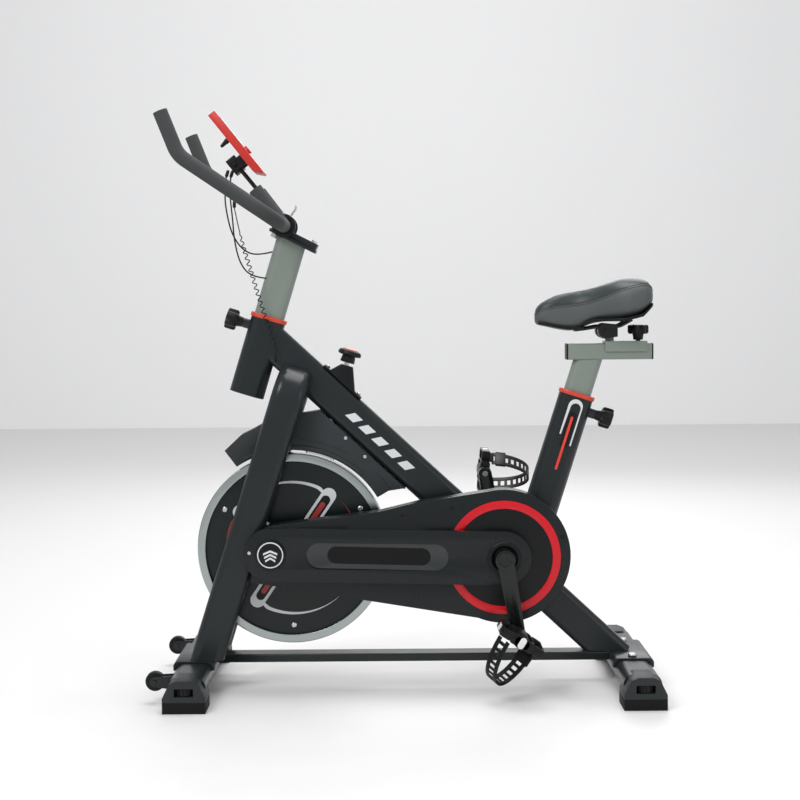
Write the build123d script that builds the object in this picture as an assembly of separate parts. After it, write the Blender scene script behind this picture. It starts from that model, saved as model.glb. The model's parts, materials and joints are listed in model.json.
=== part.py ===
from build123d import *
import math
import os

# Indoor spin bike, millimetres. The rider faces -X, Z is up, the floor is Z = 0.
# The origin is on the floor, in the middle of the length and the width.

# ---- main driving dimensions -------------------------------------------------
WIDTH = 490.0
BB_X, BB_Z = 199.5, 273.0
FW_X, FW_Z = -227.0, 281.5
FW_R = 195.0
TUBE_ANGLE = 43.0
TUBE_OFFSET = 334.0
TUBE_DEPTH, TUBE_WIDTH, TUBE_CORNER = 70.0, 40.0, 14.0
HEAD_ANGLE, HEAD_X, HEAD_Z, HEAD_LENGTH = 17.0, -319.0, 597.0, 158.0
SEAT_ANGLE, SEAT_X, SEAT_Z = 17.6, 354.0, 588.0
SLEEVE_DEPTH, SLEEVE_WIDTH = 71.0, 44.0
FRONT_FOOT_X, REAR_FOOT_X = -424.0, 460.0
FOOT_TUBE_DEPTH, FOOT_TUBE_HEIGHT, FOOT_TUBE_Z = 75.0, 42.0, 40.0
FOOT_TUBE_HALF = 205.0
CAP_TOP, BRACKET_TOP = 63.5, 65.0
LEG_ANGLE, LEG_Y = 17.7, 70.0
LEG_DEPTH, LEG_THICK, LEG_BEND = 67.0, 36.0, 50.0
LEG_STRAIGHT = 564.0
COVER_X, COVER_Z, COVER_R = -265.5, 283.0, 53.4
GUARD_R = 134.6
CRANK_LENGTH, CRANK_LEAN = 146.0, 9.8
RAIL_BOTTOM, RAIL_TOP = 663.5, 696.5
RAIL_FRONT, RAIL_REAR = 333.0, 509.0
PIVOT_X, PIVOT_Z = 411.0, 722.0
BAR_R = 14.0
SHAFT_GAP = 0.05


# ---- helpers -------------------------------------------------------------------
def side_plane(y):
    """A plane at one Y whose local x is +X and whose local y is +Z."""
    return Plane(origin=(0, y, 0), x_dir=(1, 0, 0), z_dir=(0, -1, 0))


def slab(sketch, y0, y1):
    """A side outline given depth from y0 to y1."""
    return extrude(side_plane(y1) * sketch, amount=y1 - y0)


def outline(points):
    """A filled outline through (x, z) points."""
    return make_face(Polyline(*points, close=True))


def rod_y(x, z, radius, y0, y1):
    """A round bar along Y."""
    return slab(Pos(x, z) * Circle(radius), y0, y1)


def lean_plane(x, z, angle, y=0.0):
    """A plane whose normal leans toward +X by the angle from vertical."""
    a = math.radians(angle)
    return Plane(origin=(x, y, z), x_dir=(math.cos(a), 0, -math.sin(a)), z_dir=(math.sin(a), 0, math.cos(a)))


def oval(depth, width):
    """A flat-sided oval section."""
    return RectangleRounded(depth, width, width / 2 - 0.1)


def stand(plane, sketch, z0, z1):
    """A section raised on a plane from z0 to z1 along its normal."""
    return extrude(plane.offset(z0) * sketch, amount=z1 - z0)


def hull_slot(x0, z0, x1, z1, radius):
    """An oblong outline with round ends of one radius at two centres."""
    mid = ((x0 + x1) / 2, (z0 + z1) / 2)
    length = math.hypot(x1 - x0, z1 - z0)
    angle = math.degrees(math.atan2(z1 - z0, x1 - x0))
    return Pos(*mid) * Rot(0, 0, angle) * SlotCenterToCenter(length, 2 * radius)


def sweep_round(points, radii, radius, bore=0.0):
    """A round bar or tube along straight runs joined by tangent arcs."""
    path = FilletPolyline(*points, radius=radii)
    start = Plane(origin=path @ 0, z_dir=path % 0)
    solid = sweep(start * Circle(radius), path=path)
    if bore:
        solid = solid - sweep(start * Circle(bore), path=path)
    return solid


def save(node, *shapes):
    """Write one node as a compound of its solids."""
    solids = []
    for shape in shapes:
        solids.extend(shape.solids())
    body = Compound(children=solids)
    body.label = node
    export_step(body, f"parts/{node}.step")
    print(f"{node:22s} solids {len(solids):2d}  volume {body.volume:12.1f}")


def largest(shape):
    """The biggest solid of a cut result."""
    return max(shape.solids(), key=lambda s: s.volume)


def mirrored(shape):
    """The same shape on the other side of the bike."""
    return mirror(shape, about=Plane.XZ)


# ---- frame tubes -----------------------------------------------------------------
tube_a = math.radians(TUBE_ANGLE)
TUBE_DIR = (math.cos(tube_a), -math.sin(tube_a))
TUBE_NORMAL = (math.sin(tube_a), math.cos(tube_a))


def tube_point(along, across=0.0):
    """A point (x, z) on the main tube, measured along and across it."""
    x = TUBE_OFFSET * TUBE_NORMAL[0] + along * TUBE_DIR[0] + across * TUBE_NORMAL[0]
    z = TUBE_OFFSET * TUBE_NORMAL[1] + along * TUBE_DIR[1] + across * TUBE_NORMAL[1]
    return x, z


def tube_bar(depth, width, corner, start, end):
    """A bar along the main tube's line."""
    x, z = tube_point(start)
    plane = Plane(
        origin=(x, 0, z),
        x_dir=(TUBE_NORMAL[0], 0, TUBE_NORMAL[1]),
        z_dir=(TUBE_DIR[0], 0, TUBE_DIR[1]),
    )
    return extrude(plane * RectangleRounded(depth, width, corner), amount=end - start)


os.makedirs("parts", exist_ok=True)

head_plane = lean_plane(HEAD_X, HEAD_Z, HEAD_ANGLE)
seat_plane = lean_plane(SEAT_X, SEAT_Z, SEAT_ANGLE)
brake_angle = math.degrees(math.atan2(0.2874, 0.9578))
brake_plane = lean_plane(FW_X, FW_Z, brake_angle)
floor_cut = Pos(0, 0, BRACKET_TOP - 200) * Box(1400, 600, 400)

TUBE_START, TUBE_END = -696.0, 290.0
tube_outer = tube_bar(TUBE_DEPTH, TUBE_WIDTH, TUBE_CORNER, TUBE_START, TUBE_END)
tube_inner = tube_bar(TUBE_DEPTH - 6, TUBE_WIDTH - 6, TUBE_CORNER - 3, TUBE_START, TUBE_END + 60)
head_filled = stand(head_plane, oval(SLEEVE_DEPTH, SLEEVE_WIDTH), 0, HEAD_LENGTH)
BRAKE_ROD_R = 5.0
brake_hole = stand(brake_plane, Circle(BRAKE_ROD_R + 1), 240, 400)
shell_hole = rod_y(BB_X, BB_Z, 23, -60, 60)
main_tube = tube_outer - tube_inner - head_filled - brake_hole - shell_hole - floor_cut
main_tube = largest(main_tube)
tube_solid = tube_outer - floor_cut

POST_DEPTH, POST_WIDTH = 62.0, 34.0
SEAT_POST_DEPTH, SEAT_POST_WIDTH = 57.0, 34.0
PIN_R, PIN_HOLE = 4.5, 4.9
HEAD_PIN_UP, SEAT_PIN_UP = 139.0, -24.0


def cross_bar(plane, up, radius, x0, x1):
    """A round bar across a sleeve, at one height, from x0 to x1 in the sleeve's own frame."""
    across = plane.offset(up)
    base = Plane(origin=across.origin + across.x_dir * x0, z_dir=across.x_dir)
    return extrude(base * Circle(radius), amount=x1 - x0)


head_bore = stand(head_plane, oval(POST_DEPTH + 0.8, POST_WIDTH + 0.8), -10, HEAD_LENGTH + 20)
head_boss = cross_bar(head_plane, HEAD_PIN_UP, 10, -47, -33)
head_sleeve = head_filled + head_boss - head_bore - cross_bar(head_plane, HEAD_PIN_UP, PIN_HOLE, -60, -20)
head_sleeve = largest(head_sleeve)

SEAT_SLEEVE_LENGTH = 372.0
seat_filled = stand(seat_plane, oval(SLEEVE_DEPTH, SLEEVE_WIDTH), -SEAT_SLEEVE_LENGTH, 0)
seat_bore = stand(seat_plane, oval(SEAT_POST_DEPTH + 0.8, SEAT_POST_WIDTH + 0.8), -SEAT_SLEEVE_LENGTH, 20)
seat_boss = cross_bar(seat_plane, SEAT_PIN_UP, 10, 33, 47)
seat_sleeve = seat_filled + seat_boss - seat_bore - cross_bar(seat_plane, SEAT_PIN_UP, PIN_HOLE, 20, 60)
seat_sleeve = largest(seat_sleeve - tube_outer)

COLLAR_DEPTH, COLLAR_WIDTH, COLLAR_THICK = 75.5, 48.0, 8.5
head_collar = stand(head_plane, oval(COLLAR_DEPTH, COLLAR_WIDTH), HEAD_LENGTH, HEAD_LENGTH + COLLAR_THICK)
head_collar = head_collar - head_bore
seat_collar = stand(seat_plane, oval(COLLAR_DEPTH, COLLAR_WIDTH), 0, COLLAR_THICK) - seat_bore

save("main_tube", main_tube)
save("head_sleeve", head_sleeve)
save("seat_sleeve", seat_sleeve)
save("sleeve_collars", head_collar, seat_collar)


# ---- legs, stays and feet --------------------------------------------------------
leg_a = math.radians(LEG_ANGLE)
LEG_FOOT_X, LEG_FOOT_Z = -404.0, 50.0


def front_leg():
    """The left front leg, with its inward bend and its end shaped to the main tube."""
    up = Vector(math.sin(leg_a), 0, math.cos(leg_a))
    foot = Vector(LEG_FOOT_X, -LEG_Y, LEG_FOOT_Z)
    corner = foot + up * (LEG_STRAIGHT + LEG_BEND)
    inner = corner + Vector(0, LEG_Y - 3, 0)
    path = FilletPolyline(foot, corner, inner, radius=LEG_BEND)
    across = Vector(math.cos(leg_a), 0, -math.sin(leg_a))
    start = Plane(origin=foot, x_dir=across, z_dir=up)
    outer = sweep(start * oval(LEG_DEPTH, LEG_THICK), path=path)
    hollow = sweep(start * oval(LEG_DEPTH - 5, LEG_THICK - 5), path=path)
    return largest(outer - hollow - tube_outer - head_filled - floor_cut)


leg_left = front_leg()
save("front_legs", leg_left, mirrored(leg_left))

STAY_IN, STAY_OUT = LEG_Y + LEG_THICK / 2, LEG_Y + LEG_THICK / 2 + 6
AXLE_R, FW_AXLE_R = 10.0, 6.0
BEARING_R = 18.0
stay_shape = hull_slot(COVER_X, COVER_Z, BB_X, BB_Z, 46)
stay_left = slab(stay_shape, -STAY_OUT, -STAY_IN)
stay_left = stay_left - rod_y(BB_X, BB_Z, BEARING_R, -120, -60) - rod_y(FW_X, FW_Z, FW_AXLE_R, -120, -60)
save("side_stays", stay_left, mirrored(stay_left))

shell = rod_y(BB_X, BB_Z, 23, -40, STAY_IN) - rod_y(BB_X, BB_Z, BEARING_R, -41, STAY_IN + 1)
bearing_spans = [(-40, -28), (STAY_IN, STAY_OUT), (-STAY_OUT, -STAY_IN), (28, 40)]
bb_bearings = []
for y0, y1 in bearing_spans:
    ring = rod_y(BB_X, BB_Z, BEARING_R, y0, y1) - rod_y(BB_X, BB_Z, AXLE_R + SHAFT_GAP, y0 - 1, y1 + 1)
    bb_bearings.append(ring)
save("bottom_bracket", shell, *bb_bearings)

foot_oval = RectangleRounded(FOOT_TUBE_DEPTH, FOOT_TUBE_HEIGHT, 20)
foot_bore = RectangleRounded(FOOT_TUBE_DEPTH - 5, FOOT_TUBE_HEIGHT - 5, 17.5)


def stabiliser(x):
    """One cross tube near the floor."""
    tube = slab(Pos(x, FOOT_TUBE_Z) * foot_oval, -FOOT_TUBE_HALF, FOOT_TUBE_HALF)
    bore = slab(Pos(x, FOOT_TUBE_Z) * foot_bore, -FOOT_TUBE_HALF - 1, FOOT_TUBE_HALF + 1)
    return tube - bore


WHEEL_X, WHEEL_Z, WHEEL_Y, WHEEL_R, WHEEL_WIDTH = -490.0, 44.5, 160.0, 19.0, 16.0
FORK_GAP, FORK_THICK, PIN_WHEEL_R = 9.0, 3.0, 4.0
front_bar = stabiliser(FRONT_FOOT_X)
front_face = FRONT_FOOT_X - FOOT_TUBE_DEPTH / 2
for side in (-1, 1):
    centre = side * WHEEL_Y
    pin = rod_y(WHEEL_X, WHEEL_Z, PIN_WHEEL_R, centre - 16, centre + 16)
    front_bar = front_bar + pin
    for cheek in (-1, 1):
        y0 = centre + cheek * FORK_GAP - (FORK_THICK if cheek < 0 else 0)
        plate_shape = outline(
            [(WHEEL_X, WHEEL_Z - 10), (front_face + 8, WHEEL_Z - 15),
             (front_face + 8, WHEEL_Z + 12), (WHEEL_X, WHEEL_Z + 10)]
        )
        plate_shape = plate_shape + Pos(WHEEL_X, WHEEL_Z) * Circle(10)
        plate = slab(plate_shape, y0, y0 + FORK_THICK)
        plate = plate - slab(Pos(FRONT_FOOT_X, FOOT_TUBE_Z) * foot_bore, -240, 240)
        front_bar = front_bar + plate
save("front_stabiliser", front_bar)
save("rear_stabiliser", stabiliser(REAR_FOOT_X))

BRACKET_HALF, BRACKET_THICK = 86.0, 4.0


def saddle_bracket(x):
    """The folded plate that joins the frame to a stabiliser."""
    width = FOOT_TUBE_DEPTH + 2 * BRACKET_THICK
    height = BRACKET_TOP - 38
    body = slab(Pos(x, 38 + height / 2) * RectangleRounded(width, height, 10), -BRACKET_HALF, BRACKET_HALF)
    body = body - Pos(x, 0, 30) * Box(width + 2, 400, 16 + 16)
    return body - slab(Pos(x, FOOT_TUBE_Z) * foot_oval, -BRACKET_HALF - 1, BRACKET_HALF + 1)


brackets = [saddle_bracket(FRONT_FOOT_X), saddle_bracket(REAR_FOOT_X)]
save("stabiliser_brackets", *brackets)

TIE_WIDTH, TIE_BOTTOM, TIE_TOP = 44.0, 47.0, 64.0
tie_shape = Pos(0, (TIE_BOTTOM + TIE_TOP) / 2) * RectangleRounded(TIE_WIDTH, TIE_TOP - TIE_BOTTOM, 3)
tie_plane = Plane(origin=(FRONT_FOOT_X, 0, 0), x_dir=(0, 1, 0), z_dir=(1, 0, 0))
tie_tube = extrude(tie_plane * tie_shape, amount=REAR_FOOT_X - FRONT_FOOT_X)
for x in (FRONT_FOOT_X, REAR_FOOT_X):
    width = FOOT_TUBE_DEPTH + 2 * BRACKET_THICK
    tie_tube = tie_tube - Pos(x, 0, 50) * Box(width, 200, 100)
tie_tube = largest(tie_tube - tube_outer)
save("tie_tube", tie_tube)

CAP_WIDTH, CAP_INNER, CAP_END = 83.0, 175.0, WIDTH / 2
DIAL_R, DIAL_Z0, DIAL_Z1, DIAL_Y = 17.5, 34.0, 47.0, 226.0


def end_cap(x):
    """The left foot cap of one stabiliser, with the window for its dial."""
    half = CAP_WIDTH / 2
    shape = outline([(x - half, 0), (x + half, 0), (x + half, 30), (x + 28, CAP_TOP - 6),
                     (x + 14, CAP_TOP), (x - 14, CAP_TOP), (x - 28, CAP_TOP - 6), (x - half, 30)])
    cap = slab(shape, -CAP_END, -CAP_INNER)
    cap = cap - slab(Pos(x, FOOT_TUBE_Z) * foot_oval, -FOOT_TUBE_HALF, -CAP_INNER + 1)
    cap = cap - Pos(x, -DIAL_Y - 10, 40.5) * Box(37, 20, 16)
    return cap - Pos(x, -DIAL_Y, 40.5) * Cylinder(DIAL_R + 1, 16)


caps = []
dials = {}
for x, name in ((FRONT_FOOT_X, "front"), (REAR_FOOT_X, "rear")):
    cap = end_cap(x)
    caps.extend([cap, mirrored(cap)])
    dial = Pos(x, -DIAL_Y, (DIAL_Z0 + DIAL_Z1) / 2) * Cylinder(DIAL_R, DIAL_Z1 - DIAL_Z0)
    for k in range(16):
        a = math.radians(22.5 * k)
        notch = Cylinder(1.6, 20)
        dial = dial - Pos(x + DIAL_R * math.cos(a), -DIAL_Y + DIAL_R * math.sin(a), 40.5) * notch
    dials[f"dial_{name}_left"] = dial
    dials[f"dial_{name}_right"] = mirrored(dial)
save("end_caps", *caps)
for name, dial in dials.items():
    save(name, dial)

for side, name in ((-1, "left"), (1, "right")):
    y = side * WHEEL_Y
    wheel = rod_y(WHEEL_X, WHEEL_Z, WHEEL_R, y - WHEEL_WIDTH / 2, y + WHEEL_WIDTH / 2)
    wheel = wheel - rod_y(WHEEL_X, WHEEL_Z, PIN_WHEEL_R + SHAFT_GAP, y - 20, y + 20)
    save(f"wheel_{name}", fillet(wheel.edges().filter_by(GeomType.CIRCLE).sort_by(
        lambda e: e.radius)[-2:], 2.5))


# ---- flywheel and drive ---------------------------------------------------------
RIM_WIDTH, DISC_R, DISC_HALF = 34.0, 178.0, 8.0
BELT_Y, BELT_HALF = -62.0, 8.0
SMALL_PULLEY_R, BIG_PULLEY_R, BELT_THICK = 32.5, 108.0, 3.0
rim = rod_y(FW_X, FW_Z, FW_R, -RIM_WIDTH / 2, RIM_WIDTH / 2)
rim = rim - rod_y(FW_X, FW_Z, DISC_R, -20, 20)
rim = fillet(rim.edges().filter_by(GeomType.CIRCLE), 2.0)
save("flywheel_rim", rim)

disc = rod_y(FW_X, FW_Z, DISC_R, -DISC_HALF, DISC_HALF)
disc = disc + rod_y(FW_X, FW_Z, 34, -36, 36) + rod_y(FW_X, FW_Z, 20, -54, -36)
disc = disc + rod_y(FW_X, FW_Z, SMALL_PULLEY_R, BELT_Y - BELT_HALF, BELT_Y + BELT_HALF)
disc = disc - rod_y(FW_X, FW_Z, 14, -90, 60)
FW_BEARINGS = [(BELT_Y - BELT_HALF, BELT_Y + 2), (24, 36)]
races = []
for y0, y1 in FW_BEARINGS:
    race = rod_y(FW_X, FW_Z, 14, y0, y1) - rod_y(FW_X, FW_Z, FW_AXLE_R + SHAFT_GAP, y0 - 1, y1 + 1)
    races.append(race)
save("flywheel_disc", disc, *races)

fw_axle = rod_y(FW_X, FW_Z, FW_AXLE_R, -STAY_OUT - 11, STAY_OUT + 11)
for side in (-1, 1):
    y0, y1 = sorted((side * STAY_OUT, side * (STAY_OUT + 9)))
    nut = slab(Pos(FW_X, FW_Z) * RegularPolygon(10, 6), y0, y1)
    fw_axle = fw_axle + nut
save("flywheel_axle", fw_axle)

AXLE_HALF = 137.0
ARM_IN, ARM_OUT = 121.0, 135.0
crank_axle = rod_y(BB_X, BB_Z, AXLE_R, -AXLE_HALF, AXLE_HALF)
pulley = rod_y(BB_X, BB_Z, BIG_PULLEY_R, BELT_Y - BELT_HALF, BELT_Y + BELT_HALF)
pulley = pulley - rod_y(BB_X, BB_Z, AXLE_R, -100, 0)
for k in range(6):
    a = math.radians(60 * k)
    pulley = pulley - rod_y(BB_X + 62 * math.cos(a), BB_Z + 62 * math.sin(a), 22, -100, 0)
save("crank_axle", crank_axle, pulley)


def belt_outline(gap):
    """The outline round both pulleys at a gap from their rims."""
    distance = math.hypot(BB_X - FW_X, BB_Z - FW_Z)
    tilt = math.atan2(BB_Z - FW_Z, BB_X - FW_X)
    lean = math.asin((BIG_PULLEY_R - SMALL_PULLEY_R) / distance)
    corners = []
    for sign, order in ((1, (0, 1)), (-1, (1, 0))):
        a = tilt + sign * (math.pi / 2 + lean)
        ends = [
            (FW_X + (SMALL_PULLEY_R + gap) * math.cos(a), FW_Z + (SMALL_PULLEY_R + gap) * math.sin(a)),
            (BB_X + (BIG_PULLEY_R + gap) * math.cos(a), BB_Z + (BIG_PULLEY_R + gap) * math.sin(a)),
        ]
        corners.extend(ends[i] for i in order)
    shape = outline(corners)
    shape = shape + Pos(FW_X, FW_Z) * Circle(SMALL_PULLEY_R + gap)
    return shape + Pos(BB_X, BB_Z) * Circle(BIG_PULLEY_R + gap)


belt = slab(belt_outline(0.4 + BELT_THICK), BELT_Y - BELT_HALF + 1, BELT_Y + BELT_HALF - 1)
belt = belt - slab(belt_outline(0.4), -100, 0)
save("drive_belt", belt)

crank_a = math.radians(CRANK_LEAN)
NEAR_PEDAL = (BB_X + CRANK_LENGTH * math.sin(crank_a), BB_Z - CRANK_LENGTH * math.cos(crank_a))
FAR_PEDAL = (BB_X - CRANK_LENGTH * math.sin(crank_a), BB_Z + CRANK_LENGTH * math.cos(crank_a))
SPINDLE_R, SPINDLE_END = 6.0, 226.0


def crank_arm(end, side):
    """A tapered arm from the axle to one pedal spindle."""
    ux, uz = (end[0] - BB_X) / CRANK_LENGTH, (end[1] - BB_Z) / CRANK_LENGTH
    hub, tip = 17.0, 14.0
    shape = outline([
        (BB_X - uz * hub, BB_Z + ux * hub), (end[0] - uz * tip, end[1] + ux * tip),
        (end[0] + uz * tip, end[1] - ux * tip), (BB_X + uz * hub, BB_Z - ux * hub)])
    shape = shape + Pos(end[0], end[1]) * Circle(tip) + Pos(BB_X, BB_Z) * Circle(hub)
    y0, y1 = sorted((side * ARM_IN, side * ARM_OUT))
    arm = slab(shape, y0, y1)
    h0, h1 = sorted((side * (ARM_IN - 4), side * AXLE_HALF))
    arm = arm + rod_y(BB_X, BB_Z, 20, h0, h1)
    return arm - rod_y(BB_X, BB_Z, AXLE_R, -200, 200) - rod_y(end[0], end[1], SPINDLE_R, -200, 200)


save("crank_arm_left", crank_arm(NEAR_PEDAL, -1))
save("crank_arm_right", crank_arm(FAR_PEDAL, 1))
spindles = []
for end, side in ((NEAR_PEDAL, -1), (FAR_PEDAL, 1)):
    y0, y1 = sorted((side * ARM_IN, side * SPINDLE_END))
    f0, f1 = sorted((side * ARM_OUT, side * (ARM_OUT + 4)))
    spindles.append(rod_y(end[0], end[1], SPINDLE_R, y0, y1) + rod_y(end[0], end[1], 9, f0, f1))
save("pedal_spindles", *spindles)

PEDAL_IN, PEDAL_OUT = 142.0, 232.0
PEDAL_LENGTH, PEDAL_THICK = 92.0, 22.0
STRAP_REACH, STRAP_WIDTH, STRAP_THICK = 88.0, 34.0, 2.5
STRAP_SWING = 40.0


def pedal(end, side, turn):
    """A pedal body with its two cage plates and its diagonal strap, turned about its spindle."""
    y0, y1 = PEDAL_IN, PEDAL_OUT
    spot = Pos(end[0], end[1]) * Rot(0, 0, turn)
    body = slab(spot * RectangleRounded(52, PEDAL_THICK, 10), -y1, -y0)
    cage = slab(spot * RectangleRounded(PEDAL_LENGTH, PEDAL_THICK - 4, 5), -y1, -y0)
    cage = cage - slab(spot * Rectangle(PEDAL_LENGTH - 10, 60), -y1 + 8, -y0 - 8)
    body = body + cage - rod_y(end[0], end[1], SPINDLE_R + SHAFT_GAP, -300, 300)
    loop = spot * Pos(0, PEDAL_THICK / 2) * Ellipse(40, STRAP_REACH)
    hole = spot * Pos(0, PEDAL_THICK / 2) * Ellipse(40 - STRAP_THICK, STRAP_REACH - STRAP_THICK)
    mid = (y0 + y1) / 2
    band = slab(loop, -mid - STRAP_WIDTH / 2, -mid + STRAP_WIDTH / 2)
    band = band - slab(hole, -300, 300)
    band = band - slab(spot * Pos(0, -150 + PEDAL_THICK / 2 - 3) * Rectangle(300, 300), -300, 300)
    lean = math.radians(turn)
    normal = (-math.sin(lean), 0, math.cos(lean))
    band = band.rotate(Axis((end[0], -mid, end[1]), normal), -STRAP_SWING)
    band = band - slab(spot * RectangleRounded(PEDAL_LENGTH, PEDAL_THICK - 4, 5), -y1, -y0) - body
    pieces = [body, band]
    return pieces if side < 0 else [mirrored(p) for p in pieces]


NEAR_TURN, FAR_TURN = 148.0, -95.0
save("pedal_left", *pedal(NEAR_PEDAL, -1, NEAR_TURN))
save("pedal_right", *pedal(FAR_PEDAL, 1, FAR_TURN))


# ---- belt guard and covers --------------------------------------------------------
GUARD_IN, GUARD_SPLIT, GUARD_OUT, GUARD_WALL = 42.0, 62.0, 84.0, 2.5
guard_shape = outline([(-309, 224), (-124, 193.8), (150, 148.3), (BB_X, BB_Z), (172, 404.5),
                       (30, 383), (-48, 364.4), (-273, 337)])
guard_shape = guard_shape + Pos(BB_X, BB_Z) * Circle(GUARD_R)
guard_hollow = offset(guard_shape, amount=-GUARD_WALL)
inner_half = slab(guard_shape, -GUARD_SPLIT, -GUARD_IN) - slab(guard_hollow, -GUARD_SPLIT, -GUARD_IN - GUARD_WALL)
inner_half = inner_half - rod_y(FW_X, FW_Z, 26, -80, 0) - rod_y(BB_X, BB_Z, 14, -80, 0)
outer_half = slab(guard_shape, -GUARD_OUT, -GUARD_SPLIT) - slab(guard_hollow, -GUARD_OUT + GUARD_WALL, -GUARD_SPLIT)
outer_half = outer_half - rod_y(FW_X, FW_Z, FW_AXLE_R + 2, -90, 0) - rod_y(BB_X, BB_Z, 14, -90, 0)
save("belt_guard_inner", inner_half)
save("belt_guard_outer", outer_half)
RING_R, RING_HOLE = 114.5, 98.0
ring = rod_y(BB_X, BB_Z - 2, RING_R, -GUARD_OUT - 3, -GUARD_OUT) - rod_y(BB_X, BB_Z - 2, RING_HOLE, -100, 0)
save("guard_ring", ring)
face = rod_y(BB_X, BB_Z - 2, RING_HOLE, -GUARD_OUT - 2, -GUARD_OUT) - rod_y(BB_X, BB_Z, 23, -100, 0)
save("guard_disc", face)

COVER_IN, COVER_OUT = STAY_OUT, STAY_OUT + 18
RECESS_X0, RECESS_X1, RECESS_R = -168.0, 62.0, 26.0


def cover_z(x):
    """The cover's centre height at one x."""
    return COVER_Z + (BB_Z - COVER_Z) * (x - COVER_X) / (BB_X - COVER_X)


cover_full = slab(hull_slot(COVER_X, COVER_Z, BB_X, BB_Z, COVER_R), -COVER_OUT, -COVER_IN)
cover_pocket = slab(hull_slot(COVER_X, COVER_Z, BB_X, BB_Z, COVER_R - 2.5), -COVER_OUT + 2.5, -COVER_IN)
recess_ends = (RECESS_X0, cover_z(RECESS_X0), RECESS_X1, cover_z(RECESS_X1))
recess_cup = slab(hull_slot(*recess_ends, RECESS_R + 2.5), -COVER_OUT, -COVER_OUT + 8.5)
recess = slab(hull_slot(*recess_ends, RECESS_R), -COVER_OUT - 1, -COVER_OUT + 6)
cover = cover_full - (cover_pocket - recess_cup) - recess
cover = cover - rod_y(BB_X, BB_Z, 24, -200, 0)
save("stay_cover", cover)
save("cover_cap", rod_y(COVER_X, COVER_Z + 1, 30, -COVER_OUT - 5, -COVER_OUT))

FENDER_HALF, FENDER_GAP, FENDER_WALL = 27.0, 8.0, 2.5
under = TUBE_OFFSET - TUBE_DEPTH / 2 - 1


def under_tube(x):
    """The point on the main tube's underside line at one x."""
    return x, (under - TUBE_NORMAL[0] * x) / TUBE_NORMAL[1]


fender_points = [(-363, 484), (-330, 515), (-307, 526), (-268, 548), under_tube(-168), under_tube(4),
                 (-3, 404), (-30, 400), (-100, 360), (-300, 400)]
fender_shape = outline(fender_points)
fender = slab(fender_shape, -FENDER_HALF, FENDER_HALF)
fender_hollow = offset(fender_shape, amount=-FENDER_WALL)
fender = fender - slab(fender_hollow, -FENDER_HALF + FENDER_WALL, FENDER_HALF - FENDER_WALL)
fender = fender - rod_y(FW_X, FW_Z, FW_R + FENDER_GAP, -60, 60)
fender = fender - stand(brake_plane, Circle(15), 240, 400)
save("flywheel_fender", *fender.solids())


# ---- brake -------------------------------------------------------------------------
PAD_LOW, PAD_HIGH = 198.5, 212.0
rod = stand(brake_plane, Circle(BRAKE_ROD_R), PAD_HIGH, 400)
pad = stand(brake_plane, RectangleRounded(60, 30, 4), 190, PAD_HIGH) - rod_y(FW_X, FW_Z, PAD_LOW, -60, 60)
save("brake_rod", rod, pad)
knob = stand(brake_plane, Circle(15), 396, 409) + stand(brake_plane, Circle(24), 409, 424)
knob = knob - stand(brake_plane, Circle(BRAKE_ROD_R + SHAFT_GAP), 380, 401)
save("tension_knob", fillet(knob.edges().filter_by(GeomType.CIRCLE).sort_by(
    lambda e: e.radius)[-2:], 4.0))
top_edge = TUBE_DEPTH / 2


def on_tube_top(along, above):
    """A point above the main tube's upper face."""
    return tube_point(along, top_edge + above)


brake_along = -514.0
housing_points = [on_tube_top(brake_along - 50, 0), on_tube_top(brake_along + 51, 0),
                  on_tube_top(brake_along + 51, 4), on_tube_top(brake_along + 32, 4),
                  on_tube_top(brake_along - 4, 38), on_tube_top(brake_along - 26, 27),
                  on_tube_top(brake_along - 34, 4), on_tube_top(brake_along - 50, 4)]
housing = slab(outline(housing_points), -17, 17) - brake_hole
save("brake_housing", housing)


# ---- pull pins -----------------------------------------------------------------------
def pull_pin(plane, up, way):
    """A pull-pin with its lobed knob; way is -1 toward the front, +1 toward the rear."""
    def bar(radius, near, far):
        x0, x1 = sorted((way * near, way * far))
        return cross_bar(plane, up, radius, x0, x1)

    tip = 31.5 if way < 0 else 29.0
    pin = bar(PIN_R, tip, 62)
    grip = bar(21, 60, 84)
    across = plane.offset(up)
    for k in range(6):
        a = math.radians(60 * k)
        centre = across.origin + across.x_dir * (way * 56) + across.y_dir * (24 * math.cos(a))
        centre = centre + across.z_dir * (24 * math.sin(a))
        flute = Plane(origin=centre, z_dir=across.x_dir * way)
        grip = grip - extrude(flute * Circle(6), amount=40)
    return pin + grip


save("head_pin", pull_pin(head_plane, HEAD_PIN_UP, -1))
save("seat_pin", pull_pin(seat_plane, SEAT_PIN_UP, 1))


# ---- handlebar -----------------------------------------------------------------------
POST_BOTTOM, POST_TOP = 8.0, 334.0
post = stand(head_plane, oval(POST_DEPTH, POST_WIDTH), POST_BOTTOM, POST_TOP)
post = post - stand(head_plane, oval(POST_DEPTH - 5, POST_WIDTH - 5), POST_BOTTOM - 1, POST_TOP + 1)
PLATE_ANGLE, PLATE_X, PLATE_Z = 27.0, -222.0, 905.0
plate_plane = lean_plane(PLATE_X, PLATE_Z, PLATE_ANGLE)
post = post - stand(plate_plane, Rectangle(200, 100), 0, 100)
save("handlebar_post", post)
plates = stand(plate_plane, Pos(0, 0) * RectangleRounded(104, 54, 8), 0, 7)
ramp = stand(plate_plane, Pos(8, 0) * RectangleRounded(84, 50, 8), 7, 19)

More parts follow.
